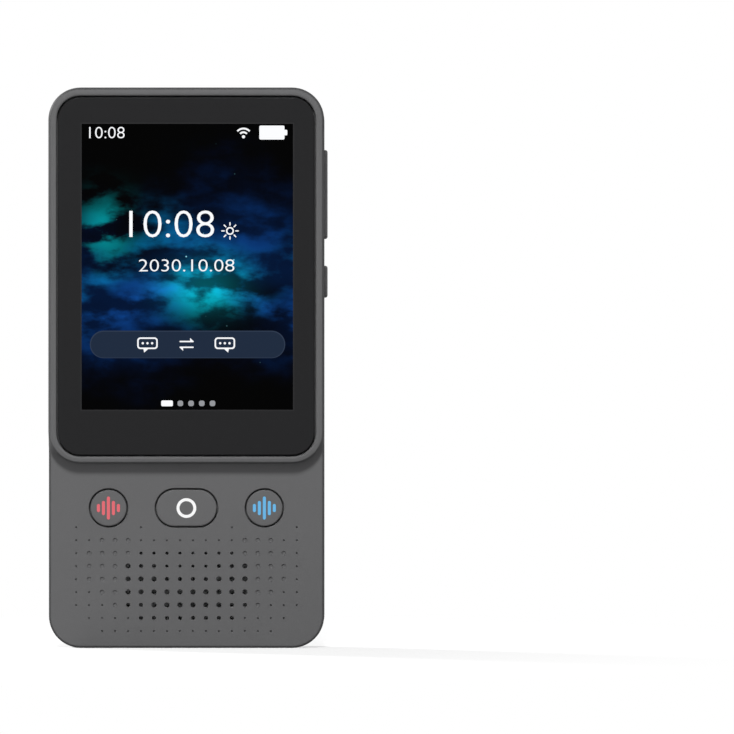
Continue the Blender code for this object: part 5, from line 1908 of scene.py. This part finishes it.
@dataclass(frozen=True)
class FrontKeys:
    """The three front keys, with their printed signs."""

    front: float = -6.2 * MM
    edge: float = 0.35 * MM
    flange: float = 1.0 * MM
    flange_front: float = -4.0 * MM
    flange_back: float = -3.4 * MM
    post: float = 1.2 * MM
    post_back: float = -3.0 * MM
    bars: tuple[float, ...] = (1.75, 3.05, 4.95, 3.05, 1.75)

    def cap(self, name: str, width: float, height: float, across: float) -> bpy.types.Object:
        """A cap with its retaining flange and post.

        Args:
            name: the cap's name.
            width: its width.
            height: its height.
            across: place of its middle.

        Returns:
            The solid.
        """
        centre = (across, SIZES.key_height)
        outline = Pill(width, height, centre)
        bends = [(-1.4 * MM, self.front, 0), (0, self.front, self.edge), (0, self.flange_front, 0)]
        rings = [(depth, outline.grown(length)) for length, depth in filleted(bends)]
        rings += [(depth, outline.grown(self.flange)) for depth in (self.flange_front, self.flange_back)]
        post = Pill(2 * self.post, 2 * self.post, centre).grown()
        rings += [(self.flange_back, post), (self.post_back, post)]
        return ring_solid(name, rings)

    def sound_bars(self, name: str, finish: Finish, across: float) -> bpy.types.Object:
        """Five upright bars, as a sound level.

        Args:
            name: the sign's name.
            finish: its ink.
            across: place of its middle.

        Returns:
            The sign, in place.
        """
        spots = [
            Spot(((index - 2) * 1.07 * MM, 0.0, 0.0), (0.66 * MM, length * MM, 1.0))
            for index, length in enumerate(self.bars)
        ]
        item = TILES.run(name, spots, {"Corner": 0.33 * MM, "Material": finish.material()})
        return Plane(self.front, 0.015 * MM, (across, SIZES.key_height)).lay(item)

    def build(self) -> None:
        """Build the caps and signs, each pair on its own key."""
        size = 2 * SIZES.key_radius
        for side, name, finish in ((-1, "left_key", RED_INK), (1, "right_key", BLUE_INK)):
            across = side * SIZES.key_spacing
            deliver(smoothed(self.cap(name + "_cap", size, size, across)), KEY_PLASTIC, name, (name,))
            deliver(self.sound_bars(name + "_sign", finish, across), finish, name)
        home = self.cap("home_key_cap", SIZES.home_width, SIZES.home_height, 0.0)
        deliver(smoothed(home), KEY_PLASTIC, "home_key", ("home_key",))
        ring = flat_ring("home_key_sign", 2.12 * MM, 1.48 * MM, (0.0, 0.0))
        sign = Plane(self.front, 0.015 * MM, (0.0, SIZES.key_height)).lay(ring)
        deliver(sign, WHITE_INK, "home_key")


@dataclass(frozen=True)
class SideKeys:
    """Volume rocker and power button in the right side."""

    out: float = 30.3 * MM
    edge: float = 0.5 * MM
    flange: float = 0.8 * MM
    flange_out: float = 27.5 * MM
    flange_in: float = 26.9 * MM
    post_in: float = 26.4 * MM
    post: float = 0.7 * MM
    rocker_posts: Point = (91.6 * MM, 103.6 * MM)

    def key(self, name: str, length: float, centre: float) -> bpy.types.Object:
        """A cap with round ends and its flange inside the wall.

        Args:
            name: the cap's name.
            length: its length.
            centre: height of its middle.

        Returns:
            The solid.
        """
        outline = Pill(SIZES.side_width, length, (SIZES.side_plane, centre))
        bends = [(-1.1 * MM, self.out, 0), (0, self.out, self.edge), (0, self.flange_out, 0)]
        rings = [(depth, outline.grown(size)) for size, depth in filleted(bends)]
        rings += [(depth, outline.grown(self.flange)) for depth in (self.flange_out, self.flange_in)]
        return ring_solid(name, rings, Facing.SIDE)

    def posts(self, key: bpy.types.Object, places: Sequence[float]) -> None:
        """Add the posts that press the switches.

        Args:
            key: the cap.
            places: height of each post.
        """
        for up in places:
            outline = Pill(2 * self.post, 2 * self.post, (SIZES.side_plane, up)).grown()
            rings = [(self.post_in, outline), (self.flange_in + 0.3 * MM, outline)]
            combine(key, ring_solid("post", rings, Facing.SIDE), "UNION")

    def build(self) -> None:
        """Build the two keys."""
        rocker = self.key("rocker_cap", SIZES.rocker_length, SIZES.rocker_middle)
        self.posts(rocker, self.rocker_posts)
        deliver(smoothed(rocker), KEY_PLASTIC, "volume_rocker", ("volume_rocker",))
        power = self.key("power_cap", SIZES.power_length, SIZES.power_middle)
        self.posts(power, (SIZES.power_middle,))
        deliver(smoothed(power), KEY_PLASTIC, "power_button", ("power_button",))


@dataclass(frozen=True)
class Camera:
    """Rear camera: metal ring, black glass, stepped barrel and coated lens."""

    ring_outer: float = 8.1 * MM
    ring_inner: float = 7.4 * MM
    ring_low: float = 7.0 * MM
    ring_high: float = 7.8 * MM
    glass_radius: float = 7.2 * MM
    glass_low: float = 7.0 * MM
    glass_high: float = 7.6 * MM
    opening: float = 3.9 * MM
    barrel_low: float = 4.0 * MM
    barrel_high: float = 6.6 * MM
    lens_radius: float = 2.3 * MM
    lens_low: float = 5.9 * MM
    bead: float = 1.4 * MM
    bead_curve: float = 1.7 * MM
    dish_rim: float = 0.45 * MM
    dish_depth: float = 0.3 * MM
    steps: int = 4
    step_drop: float = 0.16 * MM
    step_in: float = 0.26 * MM

    def ring(self) -> bpy.types.Object:
        """The ring, with a polished bevel on its inner edge.

        Returns:
            The solid.
        """
        bends = [
            (self.ring_inner, self.ring_low, 0),
            (self.ring_outer, self.ring_low, 0.05 * MM),
            (self.ring_outer, self.ring_high, 0.14 * MM),
            (self.ring_inner + 0.12 * MM, self.ring_high, 0.05 * MM),
            (self.ring_inner, self.ring_high - 0.16 * MM, 0),
        ]
        return turned("camera_trim", filleted(bends), SIZES.camera)

    def glass(self) -> bpy.types.Object:
        """Black printed glass round the opening.

        Returns:
            The solid.
        """
        bends = [
            (self.opening, self.glass_low, 0),
            (self.glass_radius, self.glass_low, 0.04 * MM),
            (self.glass_radius, self.glass_high, 0.1 * MM),
            (self.opening + 0.08 * MM, self.glass_high, 0.03 * MM),
            (self.opening, self.glass_high - 0.08 * MM, 0),
        ]
        return turned("camera_cover", filleted(bends), SIZES.camera)

    def pane(self) -> bpy.types.Object:
        """Clear pane in the opening, carrying a painted reflection of the lens coating.

        Returns:
            The solid.
        """
        rim = self.opening - 0.01 * MM
        line = [(0.0, self.glass_low + 0.1 * MM), (rim, self.glass_low + 0.1 * MM)]
        line += [(rim, self.glass_high - 0.1 * MM), (0.0, self.glass_high - 0.1 * MM)]
        return turned("camera_pane", line, SIZES.camera)

    def barrel(self) -> bpy.types.Object:
        """Barrel with the steps that keep stray light out.

        Returns:
            The solid.
        """
        line = [(0.0, self.barrel_low), (self.opening, self.barrel_low), (self.opening, self.barrel_high)]
        radius, depth = self.opening - 0.3 * MM, self.barrel_high
        for _ in range(self.steps):
            line += [(radius, depth), (radius, depth - self.step_drop)]
            radius, depth = radius - self.step_in, depth - self.step_drop
        line += [(self.lens_radius, depth), (self.lens_radius, self.lens_low - 0.1 * MM)]
        line += [(0.0, self.lens_low - 0.1 * MM)]
        return turned("camera_funnel", line, SIZES.camera)

    def lens(self) -> bpy.types.Object:
        """Front lens: a dished rim round a small steep dome.

        Returns:
            The solid.
        """
        rim = self.lens_radius - 0.05 * MM
        high = self.lens_low + self.dish_rim
        line = [(0.0, self.lens_low), (rim, self.lens_low), (rim, high)]
        for step in range(1, 9):
            share = step / 8
            radius = rim + (self.bead - rim) * share
            line.append((radius, high - self.dish_depth * math.sin(share * math.pi / 2)))
        tilt = math.asin(self.bead / self.bead_curve)
        foot = self.bead_curve * math.cos(tilt)
        for step in range(1, 13):
            angle = tilt * (1 - step / 12)
            height = self.bead_curve * math.cos(angle) - foot
            line.append((self.bead_curve * math.sin(angle), high - self.dish_depth + height))
        return turned("camera_dome", line, SIZES.camera)

    def build(self) -> None:
        """Build the camera from the outside in."""
        deliver(smoothed(self.ring()), RING_METAL, stands_for=("camera_ring",))
        deliver(smoothed(self.glass()), BLACK_GLASS, stands_for=("camera_window",))
        deliver(smoothed(self.pane()), PANE_COATING)
        deliver(smoothed(self.barrel()), LENS_BARREL, stands_for=("camera_barrel",))
        deliver(smoothed(self.lens()), LENS_COATING, stands_for=("camera_lens",))


@dataclass(frozen=True)
class Port:
    """USB-C port in the top edge: steel shell, tongue and gold contacts."""

    low: float = 112.9 * MM
    high: float = 120.1 * MM
    wall: float = 0.3 * MM
    floor: float = 114.4 * MM
    tongue_width: float = 6.6 * MM
    tongue_thickness: float = 0.7 * MM
    tongue_top: float = 119.1 * MM
    contacts: int = 12
    contact_pitch: float = 0.5 * MM
    contact: Point = (0.26 * MM, 3.4 * MM)

    def outline(self, inset: float) -> list[Point]:
        """Stadium outline, moved inwards."""
        return Pill(SIZES.port_width, SIZES.port_depth, SIZES.port).grown(-inset)

    def shell(self) -> bpy.types.Object:
        """Drawn steel shell with rolled edges.

        Returns:
            The solid.
        """
        bends = [
            (0.3 * MM, self.low, 0),
            (0.0, self.low, 0.1 * MM),
            (0.0, self.high, 0.1 * MM),
            (self.wall, self.high, 0.15 * MM),
            (self.wall, self.floor, 0),
        ]
        rings = [(up, self.outline(inset)) for inset, up in filleted(bends)]
        return ring_solid("port_shell", rings, Facing.TOP)

    def tongue(self) -> bpy.types.Object:
        """Moulded tongue with a tapered end.

        Returns:
            The solid.
        """
        across, along = SIZES.port
        top = self.tongue_top
        taper = ((top - 0.25 * MM, 0.0), (top - 0.05 * MM, 0.1 * MM), (top, 0.16 * MM))
        rings = []
        for up, inset in ((self.floor, 0.0), *taper):
            half, thin = self.tongue_width / 2 - inset, self.tongue_thickness / 2 - inset
            rings.append((up, rounded(across - half, across + half, along - thin, along + thin, 0.1 * MM)))
        return ring_solid("port_tongue", rings, Facing.TOP)

    def strips(self) -> bpy.types.Object:
        """Contact strips on both faces of the tongue.

        Returns:
            The strips in one mesh, in place.
        """
        sides = []
        for facing in (-1, 1):
            spots = [
                Spot((facing * -(index - 5.5) * self.contact_pitch, 0.0, 0.0), (*self.contact, 1.0))
                for index in range(self.contacts)
            ]
            item = TILES.run("strips", spots, {"Corner": 0.05 * MM, "Material": SPRING_BRASS.material()})
            depth = SIZES.port[1] + facing * self.tongue_thickness / 2
            middle = (SIZES.port[0], self.tongue_top - 2.2 * MM)
            sides.append(Plane(depth, 0.03 * MM, middle).lay(item, facing))
        return joined("port_contacts", sides)

    def build(self) -> None:
        """Build the port."""
        deliver(smoothed(self.shell()), STAMPED_STEEL, stands_for=("usb_shell",))
        deliver(smoothed(self.tongue()), BLACK_PLASTIC, stands_for=("usb_tongue",))
        deliver(self.strips(), SPRING_BRASS)


@dataclass(frozen=True)
class Inside:
    """The nodes that the part carries over: each takes a finish."""

    def build(self) -> None:
        """Dress each carried-over node."""
        for finish, names in CARRIED_OVER.items():
            for name in names:
                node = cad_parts[name]
                node.data.materials.clear()
                node.data.materials.append(finish.material())
                LOG.info("%s: carried over, %s", name, finish.name)


def shown_to(tree: Tree) -> SocketMath:
    """1 for rays that show a surface to the eye, directly or by gloss or through glass, else 0.

    Args:
        tree: the tree that asks.

    Returns:
        The mask.
    """
    rays = tree.add("ShaderNodeLightPath").outputs
    seen = SocketMath(tree, rays["Is Camera Ray"]) + SocketMath(tree, rays["Is Glossy Ray"])
    return tree.math("MINIMUM", seen + SocketMath(tree, rays["Is Transmission Ray"]), 1.0)


@dataclass(frozen=True)
class Studio:
    """Pale floor, soft lamps and the camera."""

    lens: float = 250.0
    frame_width: float = 158.0 * MM
    aim: tuple[float, float, float] = (38.8 * MM, -4.0 * MM, 60.4 * MM)
    ambient: float = 0.17
    floor_size: float = 6.0
    fade: Point = (0.03, 0.14)
    sensor: float = 36.0
    lamps: tuple[tuple[str, tuple[float, float, float], float, float], ...] = (
        ("front_lamp", (-0.08, -0.95, 0.80), 0.4, 13.8),
        ("back_lamp", (-1.08, 0.58, 0.63), 0.2, 28.0),
        ("side_lamp", (1.1, 0.05, 0.4), 0.35, 2.2),
    )

    def background(self) -> None:
        """White surroundings for the eye and for gloss, softer for the light that they give."""
        world = bpy.data.worlds.new("surroundings")
        bpy.context.scene.world = world
        world.use_nodes = True
        world.node_tree.nodes.clear()
        tree = Tree(world.node_tree)
        soft = tree.add("ShaderNodeBackground", None, {"Color": (1.0, 1.0, 1.0), "Strength": self.ambient})
        white = tree.add("ShaderNodeBackground", None, {"Color": (1.0, 1.0, 1.0), "Strength": 1.0})
        inputs = {0: shown_to(tree), 1: soft.outputs[0], 2: white.outputs[0]}
        mixed = tree.add("ShaderNodeMixShader", None, inputs)
        tree.add("ShaderNodeOutputWorld", None, {"Surface": mixed.outputs[0]})

    def floor(self) -> None:
        """White floor that keeps the object's shadow."""
        half = self.floor_size / 2
        low = -0.02 * MM
        mesh = bpy.data.meshes.new("floor")
        corners = [(-half, -half, low), (half, -half, low), (half, half, low), (-half, half, low)]
        mesh.from_pydata(corners, [], [(0, 1, 2, 3)])
        item = bpy.data.objects.new("floor", mesh)
        bpy.context.scene.collection.objects.link(item)
        made = bpy.data.materials.new("white_floor")
        made.use_nodes = True
        made.node_tree.nodes.clear()
        tree = Tree(made.node_tree)
        matt = tree.add("ShaderNodeBsdfDiffuse", None, {"Color": (0.4, 0.4, 0.4)})
        lift = tree.add("ShaderNodeEmission", None, {"Color": (1.0, 1.0, 1.0), "Strength": 0.6})
        both = tree.add("ShaderNodeAddShader", None, {0: matt.outputs[0], 1: lift.outputs[0]})
        white = tree.add("ShaderNodeEmission", None, {"Color": (1.0, 1.0, 1.0), "Strength": 1.0})
        place = tree.add("ShaderNodeTexCoord").outputs["Object"]
        reach = tree.add("ShaderNodeVectorMath", {"operation": "LENGTH"}, {0: place}).outputs["Value"]
        far = SocketMath(tree, reach).over(*self.fade)
        faded = tree.add("ShaderNodeMixShader", None, {0: far, 1: both.outputs[0], 2: white.outputs[0]})
        inputs = {0: shown_to(tree), 1: matt.outputs[0], 2: faded.outputs[0]}
        mixed = tree.add("ShaderNodeMixShader", None, inputs)
        tree.add("ShaderNodeOutputMaterial", None, {"Surface": mixed.outputs[0]})
        mesh.materials.append(made)

    def lamp(self, name: str, place: tuple[float, float, float], size: float, power: float) -> None:
        """Add a soft square lamp that faces the middle of the object.

        Args:
            name: the lamp's name.
            place: where it hangs.
            size: length of a side.
            power: its power in watts.
        """
        data = bpy.data.lights.new(name, "AREA")
        data.size = size
        data.energy = power
        item = bpy.data.objects.new(name, data)
        item.location = place
        middle = Vector((0.0, 0.0, SIZES.height / 2))
        item.rotation_euler = (middle - Vector(place)).to_track_quat("-Z", "Y").to_euler()
        bpy.context.scene.collection.objects.link(item)

    def camera(self) -> None:
        """Add the camera, level and square to the front."""
        data = bpy.data.cameras.new("camera")
        data.lens = self.lens
        data.sensor_width = self.sensor
        data.clip_end = 20.0
        across, depth, up = self.aim
        item = bpy.data.objects.new("camera", data)
        item.location = (across, depth - self.frame_width * self.lens / self.sensor, up)
        item.rotation_euler = (math.pi / 2, 0.0, 0.0)
        bpy.context.scene.collection.objects.link(item)
        bpy.context.scene.camera = item

    def build(self) -> None:
        """Set the stage."""
        self.background()
        self.floor()
        for name, place, size, power in self.lamps:
            self.lamp(name, place, size, power)
        self.camera()
        bpy.context.scene.view_settings.view_transform = "Standard"


TILES = Tiles()


def main() -> None:
    """Build the sub-assemblies in order."""
    logging.basicConfig(level=logging.INFO, format="%(name)s: %(message)s")
    FrontCasing().build(Grille().cutters())
    RearCasing().build()
    Screen().build()
    FrontKeys().build()
    SideKeys().build()
    Camera().build()
    Port().build()
    Inside().build()
    Studio().build()


if __name__ == "__main__":
    main()
